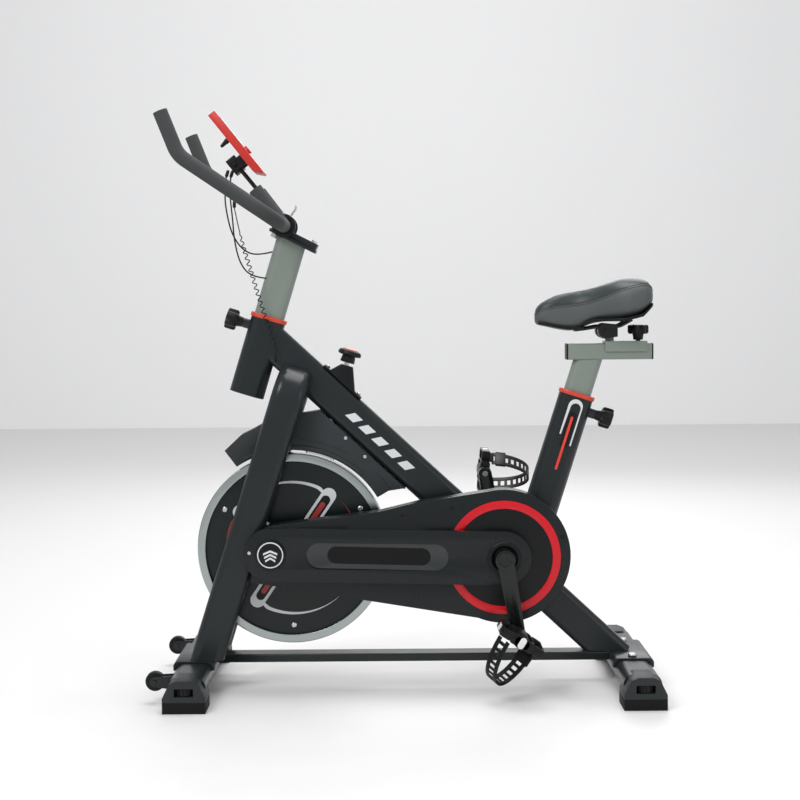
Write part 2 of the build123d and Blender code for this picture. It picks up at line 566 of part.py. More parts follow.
CROSS = (-237.0, 937.5)
BAR_Y = 225.0
bar_points = [(-452, -BAR_Y, 1141), (-421, -BAR_Y, 1062), (CROSS[0], -BAR_Y, CROSS[1]),
              (CROSS[0], BAR_Y, CROSS[1]), (-421, BAR_Y, 1062), (-452, BAR_Y, 1141)]
bar = sweep_round(bar_points, 55, BAR_R, BAR_R - 2)
cross_solid = rod_y(CROSS[0], CROSS[1], BAR_R, -150, 150)
ramp = ramp + slab(Pos(*CROSS) * Circle(BAR_R + 5), -25, 25) - cross_solid
ramp = ramp - stand(plate_plane, Rectangle(300, 100), -100, 7)
save("handlebar_plates", plates, *ramp.solids())

GRIP_Y = 52.0
GRIP_END = (-292.0, 1010.0)
grips = []
for side in (-1, 1):
    a = Vector(CROSS[0], side * GRIP_Y, CROSS[1])
    b = Vector(GRIP_END[0], side * GRIP_Y, GRIP_END[1])
    start = Plane(origin=a, z_dir=b - a)
    tube = extrude(start * Circle(BAR_R), amount=(b - a).length)
    tube = tube - extrude(start * Circle(BAR_R - 2), amount=(b - a).length - 4) - cross_solid
    grips.append(largest(tube))
save("centre_grips", *grips)
plugs = []
for point, nxt in ((bar_points[0], bar_points[1]), (bar_points[5], bar_points[4])):
    into = (Vector(*nxt) - Vector(*point)).normalized()
    end = Plane(origin=Vector(*point), z_dir=into)
    plugs.append(extrude(end * Circle(BAR_R - 2), amount=14) + extrude(end * Circle(BAR_R), amount=-3))
save("handlebar", bar, *plugs)

clamp_bolts = []
for along in (-38, 40):
    for side in (-1, 1):
        spot = Pos(along, side * 17)
        if along > 0:
            clamp_bolts.append(stand(plate_plane, spot * Circle(5), 19, 23))
        else:
            clamp_bolts.append(stand(plate_plane, spot * RegularPolygon(7, 6), -8, 0))
save("clamp_bolts", *clamp_bolts)

CONSOLE_X, CONSOLE_Z, CONSOLE_ANGLE = -330.0, 1100.5, 51.5
CONSOLE_LENGTH, CONSOLE_WIDTH, CONSOLE_THICK = 154.0, 96.0, 16.0
BLOCK_X, BLOCK_Z = -335.0, 1061.0
console_plane = lean_plane(CONSOLE_X, CONSOLE_Z, CONSOLE_ANGLE)
block_plane = lean_plane(BLOCK_X, BLOCK_Z, CONSOLE_ANGLE)
half = CONSOLE_THICK / 2
slab_side = outline([(-CONSOLE_LENGTH / 2, -half), (CONSOLE_LENGTH / 2 - 14, -half), (CONSOLE_LENGTH / 2, half - 4),
                     (CONSOLE_LENGTH / 2, half), (-CONSOLE_LENGTH / 2, half)])
console_side = Plane(
    origin=console_plane.origin + Vector(0, CONSOLE_WIDTH / 2, 0),
    x_dir=console_plane.x_dir,
    z_dir=(0, -1, 0),
)
console = extrude(console_side * slab_side, amount=CONSOLE_WIDTH)
BUTTON_ALONG = 19.0
console = console - stand(console_plane, Pos(BUTTON_ALONG, 0) * Circle(9.4), 3, 20)
for side in (-1, 1):
    lug = stand(block_plane, Pos(2, side * 20.5) * Rectangle(22, 4), -8, 22)
    console = console + lug
console = console - rod_y(BLOCK_X, BLOCK_Z, 4 + SHAFT_GAP, -60, 60)
save("console", console)
save("console_button", stand(console_plane, Pos(BUTTON_ALONG, 0) * Circle(9), 4.5, 13))

bracket = stand(block_plane, RectangleRounded(34, 36, 3), -11, 11)
bracket = bracket + rod_y(BLOCK_X, BLOCK_Z, 4, -26, 26)
for side in (-1, 1):
    a = Vector(CROSS[0] - 10, side * 14, CROSS[1] + 20)
    b = Vector(BLOCK_X + 8, side * 14, BLOCK_Z - 6)
    start = Plane(origin=a, z_dir=b - a)
    bracket = bracket + extrude(start * Circle(4), amount=(b - a).length)
for y0, y1 in ((-36, -28), (28, 36)):
    bracket = bracket + rod_y(CROSS[0], CROSS[1], BAR_R + 10, y0, y1)
bracket = bracket + Pos(CROSS[0] - 8, 0, CROSS[1] + 23.5) * Box(12, 72, 8) - cross_solid
save("console_bracket", *bracket.solids())


# ---- cords -----------------------------------------------------------------------------
def bend_radii(points):
    """The radius of each bend: 0.45 of the shorter run over the tangent of half the turn."""
    radii = []
    vectors = [Vector(*p) for p in points]
    for before, here, after in zip(vectors, vectors[1:], vectors[2:]):
        turn = math.radians((here - before).get_angle(after - here))
        shorter = min((here - before).length, (after - here).length)
        radii.append(0.45 * shorter / math.tan(turn / 2))
    return radii


def cord(node, points, radius):
    """A round cord along a route, with its radii and its volume check printed."""
    radii = bend_radii(points)
    path = FilletPolyline(*points, radius=radii)
    solid = sweep(Plane(origin=path @ 0, z_dir=path % 0) * Circle(radius), path=path)
    expected = math.pi * radius ** 2 * path.length
    print(node, "radii", [round(r, 1) for r in radii], "length", round(path.length, 1),
          "volume ratio", round(solid.volume / expected, 4))
    return solid


WIRE_R, COIL_R = 1.5, 5.0
WIRE_A = [(-352, -24, 1036), (-356, -27, 1000), (-351, -30, 960), (-341, -32, 920), (-320, -31, 889),
          (-292, -26, 878), (-262, -15, 886)]
WIRE_B = [(-344, -14, 1036), (-346, -17, 998), (-341, -19, 955), (-338, -20, 908), (-327, -20, 862),
          (-305, -17, 836), (-275.5, -10, 833)]
COIL = [(-335.6, -34, 974), (-323.3, -38, 912), (-299, -40, 832), (-275, -40, 750), (-256, -36, 690)]


post_solid = stand(head_plane, oval(POST_DEPTH, POST_WIDTH), POST_BOTTOM, POST_TOP)
save("wire_upper", largest(cord("wire_upper", WIRE_A, WIRE_R) - post_solid))
save("wire_lower", largest(cord("wire_lower", WIRE_B, WIRE_R) - post_solid))
TAIL = [(-256, -36, 692), (-257, -34, 674), (-257.5, -20.1, 664)]
coil = cord("curly_cord", COIL, COIL_R)
tail = cord("curly_tail", TAIL, 2.0)
save("curly_cord", coil + tail - tube_outer - head_filled)


# ---- seat ----------------------------------------------------------------------------
seat_post = stand(seat_plane, oval(SEAT_POST_DEPTH, SEAT_POST_WIDTH), -205, 130)
seat_post = seat_post - stand(seat_plane, oval(SEAT_POST_DEPTH - 5, SEAT_POST_WIDTH - 5), -206, 131)
seat_post = seat_post - Pos(400, 0, RAIL_BOTTOM + 100) * Box(400, 200, 200)
save("seat_post", largest(seat_post))

RAIL_HALF = 20.0
rail_mid = (RAIL_BOTTOM + RAIL_TOP) / 2
rail_height = RAIL_TOP - RAIL_BOTTOM
end_plane = Plane(origin=(RAIL_FRONT + 3, 0, 0), x_dir=(0, 1, 0), z_dir=(1, 0, 0))
rail_outer = end_plane * Pos(0, rail_mid) * RectangleRounded(2 * RAIL_HALF, rail_height, 4)
rail_bore = end_plane * Pos(0, rail_mid) * RectangleRounded(2 * RAIL_HALF - 4, rail_height - 4, 2)
rail_length = RAIL_REAR - RAIL_FRONT - 6
rail = extrude(rail_outer, amount=rail_length) - extrude(rail_bore, amount=rail_length)
save("seat_rail", rail)
rail_caps = []
for x0, x1, into in ((RAIL_FRONT, RAIL_FRONT + 3, 1), (RAIL_REAR - 3, RAIL_REAR, -1)):
    plane = Plane(origin=(x0, 0, 0), x_dir=(0, 1, 0), z_dir=(1, 0, 0))
    cap = extrude(plane * Pos(0, rail_mid) * RectangleRounded(2 * RAIL_HALF, rail_height, 4), amount=x1 - x0)
    inner_x = x1 if into > 0 else x0 - 10
    plug_plane = Plane(origin=(inner_x, 0, 0), x_dir=(0, 1, 0), z_dir=(1, 0, 0))
    plug = plug_plane * Pos(0, rail_mid) * RectangleRounded(2 * RAIL_HALF - 4, rail_height - 4, 2)
    rail_caps.append(cap + extrude(plug, amount=10))
save("rail_caps", *rail_caps)

CARRIAGE_X0, CARRIAGE_X1, CARRIAGE_LOW, CARRIAGE_TOP = 411.0, 496.0, 680.0, 701.0
STUB_X, RAIL_KNOB_X = 427.0, 480.5
carriage_mid = (CARRIAGE_X0 + CARRIAGE_X1) / 2
carriage_height = CARRIAGE_TOP - CARRIAGE_LOW
carriage = Pos(carriage_mid, 0, CARRIAGE_LOW + carriage_height / 2) * Box(
    CARRIAGE_X1 - CARRIAGE_X0, 2 * RAIL_HALF + 8, carriage_height)
carriage = carriage - Pos(carriage_mid, 0, 600 + (RAIL_TOP + 0.6 - 600) / 2) * Box(
    200, 2 * RAIL_HALF + 1.2, RAIL_TOP + 0.6 - 600)
carriage = carriage - Pos(RAIL_KNOB_X, 0, 700) * Cylinder(5 + SHAFT_GAP, 30)
carriage = carriage + Pos(STUB_X - 5, 0, 708) * Cylinder(9, 15)
carriage = carriage + rod_y(PIVOT_X, PIVOT_Z, 10, -12, 12)
carriage = carriage + Pos((PIVOT_X + STUB_X) / 2 - 1, 0, 712) * Box(22, 18, 12)
carriage = carriage - rod_y(PIVOT_X, PIVOT_Z, 4 + SHAFT_GAP, -30, 30)
save("seat_carriage", carriage)

knob = Pos(RAIL_KNOB_X, 0, 724.5) * Cylinder(21.5, 19)
for k in range(6):
    a = math.radians(60 * k)
    knob = knob - Pos(RAIL_KNOB_X + 24.5 * math.cos(a), 24.5 * math.sin(a), 724.5) * Cylinder(6, 30)
knob = knob + Pos(RAIL_KNOB_X, 0, 709) * Cylinder(9, 15) + Pos(RAIL_KNOB_X, 0, 705) * Cylinder(5, 16)
save("rail_knob", knob)

top_points = [(266, 746), (270, 765), (289, 781), (317, 791), (356, 797), (393, 806), (430, 820),
              (462, 826), (490, 825), (503, 811), (508, 788)]
low_points = [(500, 772), (478, 751), (442, 742), (385, 741), (367, 734), (363, 723), (320, 727), (275, 736)]
side_shape = make_face(
    [Spline(*top_points), Polyline(top_points[-1], *low_points, top_points[0])])
plan_points = [(264, 0), (272, 22), (300, 30), (350, 36), (390, 55), (425, 82), (460, 95), (490, 88),
               (506, 55), (509, 0)]


def saddle_plan(width_share, x0, x1):
    """The saddle's outline from above, narrowed and shortened, as a tall solid."""
    points = []
    for x, y in plan_points:
        points.append((min(max(x, x0), x1), y * width_share))
    points[0] = (x0, 0)
    points[-1] = (x1, 0)
    half = make_face([Spline(*points), Line(points[-1], points[0])])
    upper = extrude(Pos(0, 0, 600) * half, amount=300)
    return upper + mirror(upper, about=Plane.XZ)


plan_solid = saddle_plan(1.0, 264, 509)
seat_solid = slab(side_shape, -100, 100) & plan_solid
base_line = [(x, z + 6) for x, z in low_points]
cut_shape = outline([(520, 784), (508, 782), *base_line, (262, 743), (262, 700), (520, 700)])
pad_solid = largest(seat_solid - slab(cut_shape, -120, 120))
base_shape = outline(low_points + [(x, z - 0.1) for x, z in reversed(base_line)])
base_solid = largest(slab(base_shape, -120, 120) & saddle_plan(0.93, 268, 505))
save("saddle_pad", pad_solid)
save("saddle_base", base_solid)

RAIL_UP = 9.0
under_saddle = []
for side in (-1, 1):
    route = [(350, side * 14, 724), (374, side * 19, PIVOT_Z + 5), (396, side * 23.5, PIVOT_Z + RAIL_UP),
             (440, side * 23.5, PIVOT_Z + RAIL_UP), (464, side * 30, 745)]
    under_saddle.append(sweep_round(route, [20, 20, 20], 3.5) - base_solid - pad_solid)
clamp_shape = Pos(PIVOT_X, PIVOT_Z) * Circle(15.5) + outline(
    [(PIVOT_X, PIVOT_Z - 15.5), (PIVOT_X + 24, PIVOT_Z - 12), (PIVOT_X + 24, PIVOT_Z + 13),
     (PIVOT_X, PIVOT_Z + 15.5)])
for near, far in ((12.6, 20), (27, 30)):
    for side in (-1, 1):
        y0, y1 = sorted((side * near, side * far))
        under_saddle.append(slab(clamp_shape, y0, y1) - rod_y(PIVOT_X, PIVOT_Z, 4, -40, 40))
under_saddle.append(rod_y(PIVOT_X, PIVOT_Z, 4, -34, 34))
save("saddle_rails", *under_saddle)


# ---- screws and bolts of the frame ------------------------------------------------------
def dome(plane, radius, height):
    """A round bolt head standing on a plane."""
    head = extrude(plane * Circle(radius), amount=height)
    far_face = max(head.faces(), key=lambda f: (f.center() - plane.origin).length)
    return fillet(far_face.edges(), height * 0.45)


bolts = []
for x, y in ((FRONT_FOOT_X, -25), (FRONT_FOOT_X, 25), (REAR_FOOT_X, -70), (REAR_FOOT_X, 70)):
    bolts.append(dome(Plane(origin=(x, y, BRACKET_TOP)), 9, 7))
for along in (-42.5, 42):
    x, z = on_tube_top(brake_along + along, 4)
    plane = Plane(origin=(x, 0, z), x_dir=(0, 1, 0), z_dir=(TUBE_NORMAL[0], 0, TUBE_NORMAL[1]))
    bolts.append(dome(plane, 4.5, 4))
for x, z, y in ((-117, 508, FENDER_HALF), (-78, 470, FENDER_HALF), (-4, 358, GUARD_OUT),
                (96, 372, GUARD_OUT), (COVER_X - 42, COVER_Z + 5, COVER_OUT), (318, 312, GUARD_OUT)):
    bolts.append(dome(Plane(origin=(x, -y, z), x_dir=(1, 0, 0), z_dir=(0, -1, 0)), 3.5, 2))
save("frame_bolts", *bolts)
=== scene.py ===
"""Finishes and soft parts of the indoor spin bike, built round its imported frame, in metres."""
import json
import logging
import math
from dataclasses import dataclass, field
from enum import Enum
from typing import Callable, Iterable, Sequence

import bpy
from mathutils import Matrix, Vector


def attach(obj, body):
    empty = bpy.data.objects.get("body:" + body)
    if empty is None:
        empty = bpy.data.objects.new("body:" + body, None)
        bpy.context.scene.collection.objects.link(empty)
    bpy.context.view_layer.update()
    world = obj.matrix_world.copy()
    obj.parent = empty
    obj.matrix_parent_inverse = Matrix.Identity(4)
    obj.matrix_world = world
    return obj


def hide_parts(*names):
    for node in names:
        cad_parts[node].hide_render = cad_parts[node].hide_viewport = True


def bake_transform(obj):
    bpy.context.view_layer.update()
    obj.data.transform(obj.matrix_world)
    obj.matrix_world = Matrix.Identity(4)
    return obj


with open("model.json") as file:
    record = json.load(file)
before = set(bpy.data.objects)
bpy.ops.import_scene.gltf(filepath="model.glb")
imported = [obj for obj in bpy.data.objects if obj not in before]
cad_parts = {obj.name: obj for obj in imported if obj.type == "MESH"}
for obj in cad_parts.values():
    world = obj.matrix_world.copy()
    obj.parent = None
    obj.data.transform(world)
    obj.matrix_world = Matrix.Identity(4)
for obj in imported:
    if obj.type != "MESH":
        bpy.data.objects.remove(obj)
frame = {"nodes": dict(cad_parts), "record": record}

log = logging.getLogger("bike")
Point = tuple[float, float, float]
Pair = tuple[float, float]
SHARP = 32.0  # degrees over which an edge counts as sharp
# Where the sub-assemblies meet. A sleeve or the display is its x and z and its lean in degrees.
CRANK_AXIS = Vector((0.1995, 0.0, 0.273))
CRANK_LENGTH = 0.146
CRANK_ANGLE = 9.8
FLYWHEEL = Vector((-0.227, 0.0, 0.2815))
HEAD_SLEEVE = (-0.319, 0.597, 17.0)
SEAT_SLEEVE = (0.354, 0.588, 17.6)
DISPLAY = (-0.330, 1.1005, 51.5)


class Body(str, Enum):
    """The rigid bodies that pieces ride on."""

    FRAME = "frame"
    FLYWHEEL = "flywheel"
    LEFT_PEDAL = "left_pedal"
    RIGHT_PEDAL = "right_pedal"
    MAST = "handlebar_mast"
    DISPLAY = "display"
    BUTTON = "display_button"
    SADDLE = "saddle"
    BRAKE_KNOB = "brake_knob"


# ---- shared surface effects ---------------------------------------------------------------------


class EffectGroup:
    """Builds the shared shader groups once and places them in materials."""

    @staticmethod
    def _socket(group: bpy.types.NodeTree, name: str, way: str, kind: str, value: float = 0.0) -> None:
        """Add one named socket to a group, with its default.

        Args:
            group: The node group.
            name: The socket's name.
            way: INPUT or OUTPUT.
            kind: The socket's type.
            value: The default of a number that goes in.
        """
        socket = group.interface.new_socket(name=name, in_out=way, socket_type=kind)
        if way == "INPUT" and kind == "NodeSocketFloat":
            socket.default_value = value

    @classmethod
    def grain(cls) -> bpy.types.NodeTree:
        """The moulded or sprayed grain of a surface.

        Returns:
            A group with Vector, Scale and Blotch inputs and Height and Mask outputs.
        """
        found = bpy.data.node_groups.get("surface_grain")
        if found:
            return found
        group = bpy.data.node_groups.new("surface_grain", "ShaderNodeTree")
        cls._socket(group, "Vector", "INPUT", "NodeSocketVector")
        cls._socket(group, "Scale", "INPUT", "NodeSocketFloat", 900.0)
        cls._socket(group, "Blotch", "INPUT", "NodeSocketFloat", 9.0)
        cls._socket(group, "Height", "OUTPUT", "NodeSocketFloat")
        cls._socket(group, "Mask", "OUTPUT", "NodeSocketFloat")
        nodes, links = group.nodes, group.links
        source = nodes.new("NodeGroupInput")
        result = nodes.new("NodeGroupOutput")
        fine = nodes.new("ShaderNodeTexNoise")
        fine.inputs["Detail"].default_value = 2.0
        broad = nodes.new("ShaderNodeTexNoise")
        broad.inputs["Detail"].default_value = 5.0
        broad.inputs["Roughness"].default_value = 0.6
        links.new(source.outputs["Vector"], fine.inputs["Vector"])
        links.new(source.outputs["Vector"], broad.inputs["Vector"])
        links.new(source.outputs["Scale"], fine.inputs["Scale"])
        links.new(source.outputs["Blotch"], broad.inputs["Scale"])
        links.new(fine.outputs["Fac"], result.inputs["Height"])
        links.new(broad.outputs["Fac"], result.inputs["Mask"])
        return group

    @classmethod
    def leather(cls) -> bpy.types.NodeTree:
        """The pebbled cells of embossed vinyl.

        Returns:
            A group with Vector and Scale inputs and a Height output.
        """
        found = bpy.data.node_groups.get("vinyl_pebble")
        if found:
            return found
        group = bpy.data.node_groups.new("vinyl_pebble", "ShaderNodeTree")
        cls._socket(group, "Vector", "INPUT", "NodeSocketVector")
        cls._socket(group, "Scale", "INPUT", "NodeSocketFloat", 450.0)
        cls._socket(group, "Height", "OUTPUT", "NodeSocketFloat")
        nodes, links = group.nodes, group.links
        source = nodes.new("NodeGroupInput")
        result = nodes.new("NodeGroupOutput")
        cells = nodes.new("ShaderNodeTexVoronoi")
        cells.feature = "SMOOTH_F1"
        links.new(source.outputs["Vector"], cells.inputs["Vector"])
        links.new(source.outputs["Scale"], cells.inputs["Scale"])
        links.new(cells.outputs["Distance"], result.inputs["Height"])
        return group

    @classmethod
    def scuffs(cls) -> bpy.types.NodeTree:
        """Fine handling scratches and settled dust.

        Returns:
            A group with Vector and Amount inputs and a Mask output.
        """
        found = bpy.data.node_groups.get("scuffs_and_dust")
        if found:
            return found
        group = bpy.data.node_groups.new("scuffs_and_dust", "ShaderNodeTree")
        cls._socket(group, "Vector", "INPUT", "NodeSocketVector")
        cls._socket(group, "Amount", "INPUT", "NodeSocketFloat", 0.3)
        cls._socket(group, "Mask", "OUTPUT", "NodeSocketFloat")
        nodes, links = group.nodes, group.links
        source = nodes.new("NodeGroupInput")
        result = nodes.new("NodeGroupOutput")
        stretch = nodes.new("ShaderNodeMapping")
        stretch.inputs["Scale"].default_value = (14.0, 60.0, 260.0)
        stretch.inputs["Rotation"].default_value = (0.3, 0.5, 0.2)
        noise = nodes.new("ShaderNodeTexNoise")
        noise.inputs["Scale"].default_value = 1.0
        noise.inputs["Detail"].default_value = 6.0
        noise.inputs["Roughness"].default_value = 0.7
        ramp = nodes.new("ShaderNodeValToRGB")
        ramp.color_ramp.elements[0].position = 0.6
        ramp.color_ramp.elements[1].position = 0.78
        scale = nodes.new("ShaderNodeMath")
        scale.operation = "MULTIPLY"
        links.new(source.outputs["Vector"], stretch.inputs["Vector"])
        links.new(stretch.outputs["Vector"], noise.inputs["Vector"])
        links.new(noise.outputs["Fac"], ramp.inputs["Fac"])
        links.new(ramp.outputs["Color"], scale.inputs[0])
        links.new(source.outputs["Amount"], scale.inputs[1])
        links.new(scale.outputs["Value"], result.inputs["Mask"])
        return group


@dataclass(frozen=True)
class Finish:
    """One surface finish of the bike.

    Attributes:
        name: The material's name.
        colour: Linear base colour.
        rough: Middle roughness.
        metal: Metallic amount.
        grain: Grain scale in cells a metre.
        depth: Grain depth in metres.
        vary: How far the broad colour variation goes.
        coat: Clear coat weight.
        sheen: Sheen weight.
        scuff: Amount of fine scuffs.
        pebble: Whether the grain is embossed vinyl.
        mirror: Specular level of a surface that isn't metal.
        coat_rough: Roughness of the clear coat.
        blotch: Scale of the broad colour variation.
        duller: How far the roughness falls and rises from its middle.
        wear_gain: How much lighter a scuff is than the colour.
        wear_lift: What a scuff adds to the colour.
    """

    name: str
    colour: Point
    rough: float = 0.45
    metal: float = 0.0
    grain: float = 1100.0
    depth: float = 0.00006
    vary: float = 0.12
    coat: float = 0.0
    sheen: float = 0.0
    scuff: float = 0.25
    pebble: bool = False
    mirror: float = 0.5
    coat_rough: float = 0.18
    blotch: float = 11.0
    duller: Pair = (0.07, 0.09)
    wear_gain: float = 1.35
    wear_lift: float = 0.012

    def material(self) -> bpy.types.Material:
        """Build the material once.

        Returns:
            The finished material.
        """
        found = bpy.data.materials.get(self.name)
        if found:
            return found
        made = bpy.data.materials.new(self.name)
        made.use_nodes = True
        nodes, links = made.node_tree.nodes, made.node_tree.links
        shader = nodes["Principled BSDF"]
        shader.inputs["Metallic"].default_value = self.metal
        shader.inputs["Specular IOR Level"].default_value = self.mirror
        shader.inputs["Coat Weight"].default_value = self.coat
        shader.inputs["Coat Roughness"].default_value = self.coat_rough
        shader.inputs["Sheen Weight"].default_value = self.sheen
        place = nodes.new("ShaderNodeTexCoord")
        grain = nodes.new("ShaderNodeGroup")
        grain.node_tree = EffectGroup.grain()
        grain.inputs["Scale"].default_value = self.grain
        grain.inputs["Blotch"].default_value = self.blotch
        scuffs = nodes.new("ShaderNodeGroup")
        scuffs.node_tree = EffectGroup.scuffs()
        scuffs.inputs["Amount"].default_value = self.scuff
        links.new(place.outputs["Object"], grain.inputs["Vector"])
        links.new(place.outputs["Object"], scuffs.inputs["Vector"])
        tint = nodes.new("ShaderNodeMix")
        tint.data_type = "RGBA"
        tint.inputs["A"].default_value = (*[c * (1 - self.vary) for c in self.colour], 1)
        tint.inputs["B"].default_value = (*[min(c * (1 + self.vary), 1) for c in self.colour], 1)
        links.new(grain.outputs["Mask"], tint.inputs["Factor"])
        worn = nodes.new("ShaderNodeMix")
        worn.data_type = "RGBA"
        light = [min(c * self.wear_gain + self.wear_lift, 1) for c in self.colour]
        worn.inputs["B"].default_value = (*light, 1)
        links.new(tint.outputs["Result"], worn.inputs["A"])
        links.new(scuffs.outputs["Mask"], worn.inputs["Factor"])
        links.new(worn.outputs["Result"], shader.inputs["Base Color"])
        gloss = nodes.new("ShaderNodeMapRange")
        gloss.inputs["To Min"].default_value = max(self.rough - self.duller[0], 0.02)
        gloss.inputs["To Max"].default_value = min(self.rough + self.duller[1], 1)
        links.new(grain.outputs["Mask"], gloss.inputs["Value"])
        links.new(gloss.outputs["Result"], shader.inputs["Roughness"])
        bump = nodes.new("ShaderNodeBump")
        bump.inputs["Distance"].default_value = self.depth
        bump.inputs["Strength"].default_value = 1.0
        if self.pebble:
            cells = nodes.new("ShaderNodeGroup")
            cells.node_tree = EffectGroup.leather()
            cells.inputs["Scale"].default_value = self.grain
            links.new(place.outputs["Object"], cells.inputs["Vector"])
            links.new(cells.outputs["Height"], bump.inputs["Height"])
        else:
            links.new(grain.outputs["Height"], bump.inputs["Height"])
        links.new(bump.outputs["Normal"], shader.inputs["Normal"])
        return made


FRAME_PAINT = Finish("frame_powder_coat", (0.0115, 0.0155, 0.017), 0.32, grain=700, depth=0.00005,
                     coat=0.15, mirror=0.26)
POST_PAINT = Finish("post_grey_green_paint", (0.20, 0.235, 0.205), 0.34, grain=800, depth=0.00004, vary=0.06)
COLLAR_RED = Finish("collar_orange_red", (0.60, 0.048, 0.018), 0.42, vary=0.07)
CONSOLE_RED = Finish("display_coral_red", (0.52, 0.036, 0.028), 0.33, depth=0.00003, vary=0.05,
                     scuff=0.12, mirror=0.26)
RING_RED = Finish("guard_ring_red", (0.60, 0.0025, 0.011), 0.28, depth=0.00002, vary=0.06,
                  coat=0.3, mirror=0.26)
GUARD_PLASTIC = Finish("guard_moulding", (0.0095, 0.012, 0.013), 0.27, grain=1300, depth=0.00004, mirror=0.26)
# Painted highlight: the recess ramp's colour is lighter than the guard moulding round it, standing in for the
# light its slopes catch.
RECESS_PAINTED_HIGHLIGHT = Finish("recess_painted_highlight", (0.020, 0.024, 0.025), 0.24, grain=1300, depth=0.00003)
FENDER_PLASTIC = Finish("fender_moulding", (0.026, 0.031, 0.033), 0.5, grain=1500, depth=0.00008, mirror=0.26)
BLACK_PLASTIC = Finish("black_moulding", (0.0035, 0.004, 0.0045), 0.38, grain=1500, mirror=0.26)
CAP_PLASTIC = Finish("foot_cap_moulding", (0.021, 0.025, 0.026), 0.45, grain=1300, depth=0.00008, mirror=0.26)
FOOT_BLACK = Finish("foot_strip_rubber", (0.003, 0.003, 0.0035), 0.7, grain=900, depth=0.0001,
                    scuff=0.5, mirror=0.26)
RIM_PLATE = Finish("rim_plating", (0.37, 0.41, 0.405), 0.22, metal=1.0, grain=400, depth=0.00001, vary=0.06)
DISC_PAINT = Finish("disc_enamel", (0.0025, 0.0075, 0.008), 0.3, grain=300, depth=0.00012,
                    coat=0.2, mirror=0.26)
ZINC = Finish("bright_zinc", (0.62, 0.63, 0.62), 0.28, metal=1.0, grain=2500, depth=0.00002)
DARK_STEEL = Finish("oiled_steel", (0.14, 0.14, 0.145), 0.4, metal=1.0, grain=1800)
GRIP_FOAM = Finish("grip_foam", (0.0060, 0.0080, 0.0086), 0.29, grain=1700, depth=0.00010, sheen=0.03,
                   scuff=0.1, mirror=0.26)
CRANK_BLACK = Finish("crank_enamel", (0.004, 0.005, 0.005), 0.24, depth=0.00003, coat=0.3, mirror=0.26)
WHEEL_RUBBER = Finish("roller_rubber", (0.004, 0.004, 0.0045), 0.5, grain=900, mirror=0.26)
# Painted shade: the flank vinyl is a darker copy of the top vinyl. The seamed panels are real, and part of the
# flank's darkness is painted shade on the saddle's sides.
FLANK_VINYL_SHADED = Finish("saddle_vinyl", (0.0080, 0.0105, 0.0114), 0.36, grain=620, depth=0.00022, vary=0.1, sheen=0.05,
               scuff=0.1, pebble=True, mirror=0.26)
VINYL_TOP = Finish("saddle_top_vinyl", (0.030, 0.038, 0.039), 0.33, grain=760, depth=0.00018, vary=0.1,
                   scuff=0.1, pebble=True, mirror=0.26)
THREAD = Finish("stitch_thread", (0.015, 0.017, 0.018), 0.7, grain=4000, depth=0.0001)
CORD_BLACK = Finish("cord_jacket", (0.008, 0.009, 0.01), 0.4, grain=2500, depth=0.00003, mirror=0.26)
SILVER = Finish("silver_print", (0.66, 0.67, 0.69), 0.34, grain=2000, depth=0.00001, vary=0.05, scuff=0.3)
DULL_RED = Finish("dull_red_print", (0.36, 0.03, 0.022), 0.4, grain=2000, depth=0.00001, vary=0.08)
BRIGHT_RED = Finish("bright_red_print", (0.72, 0.045, 0.025), 0.4, grain=2000, depth=0.00001, vary=0.06)
REFLECTOR = Finish("pedal_reflector", (0.75, 0.75, 0.76), 0.18, grain=900, depth=0.0004, vary=0.1)
GLASS_DARK = Finish("display_window", (0.03, 0.038, 0.034), 0.12, grain=300, depth=0.000005, coat=0.6)


# ---- workshop ------------------------------------------------------------------------------------


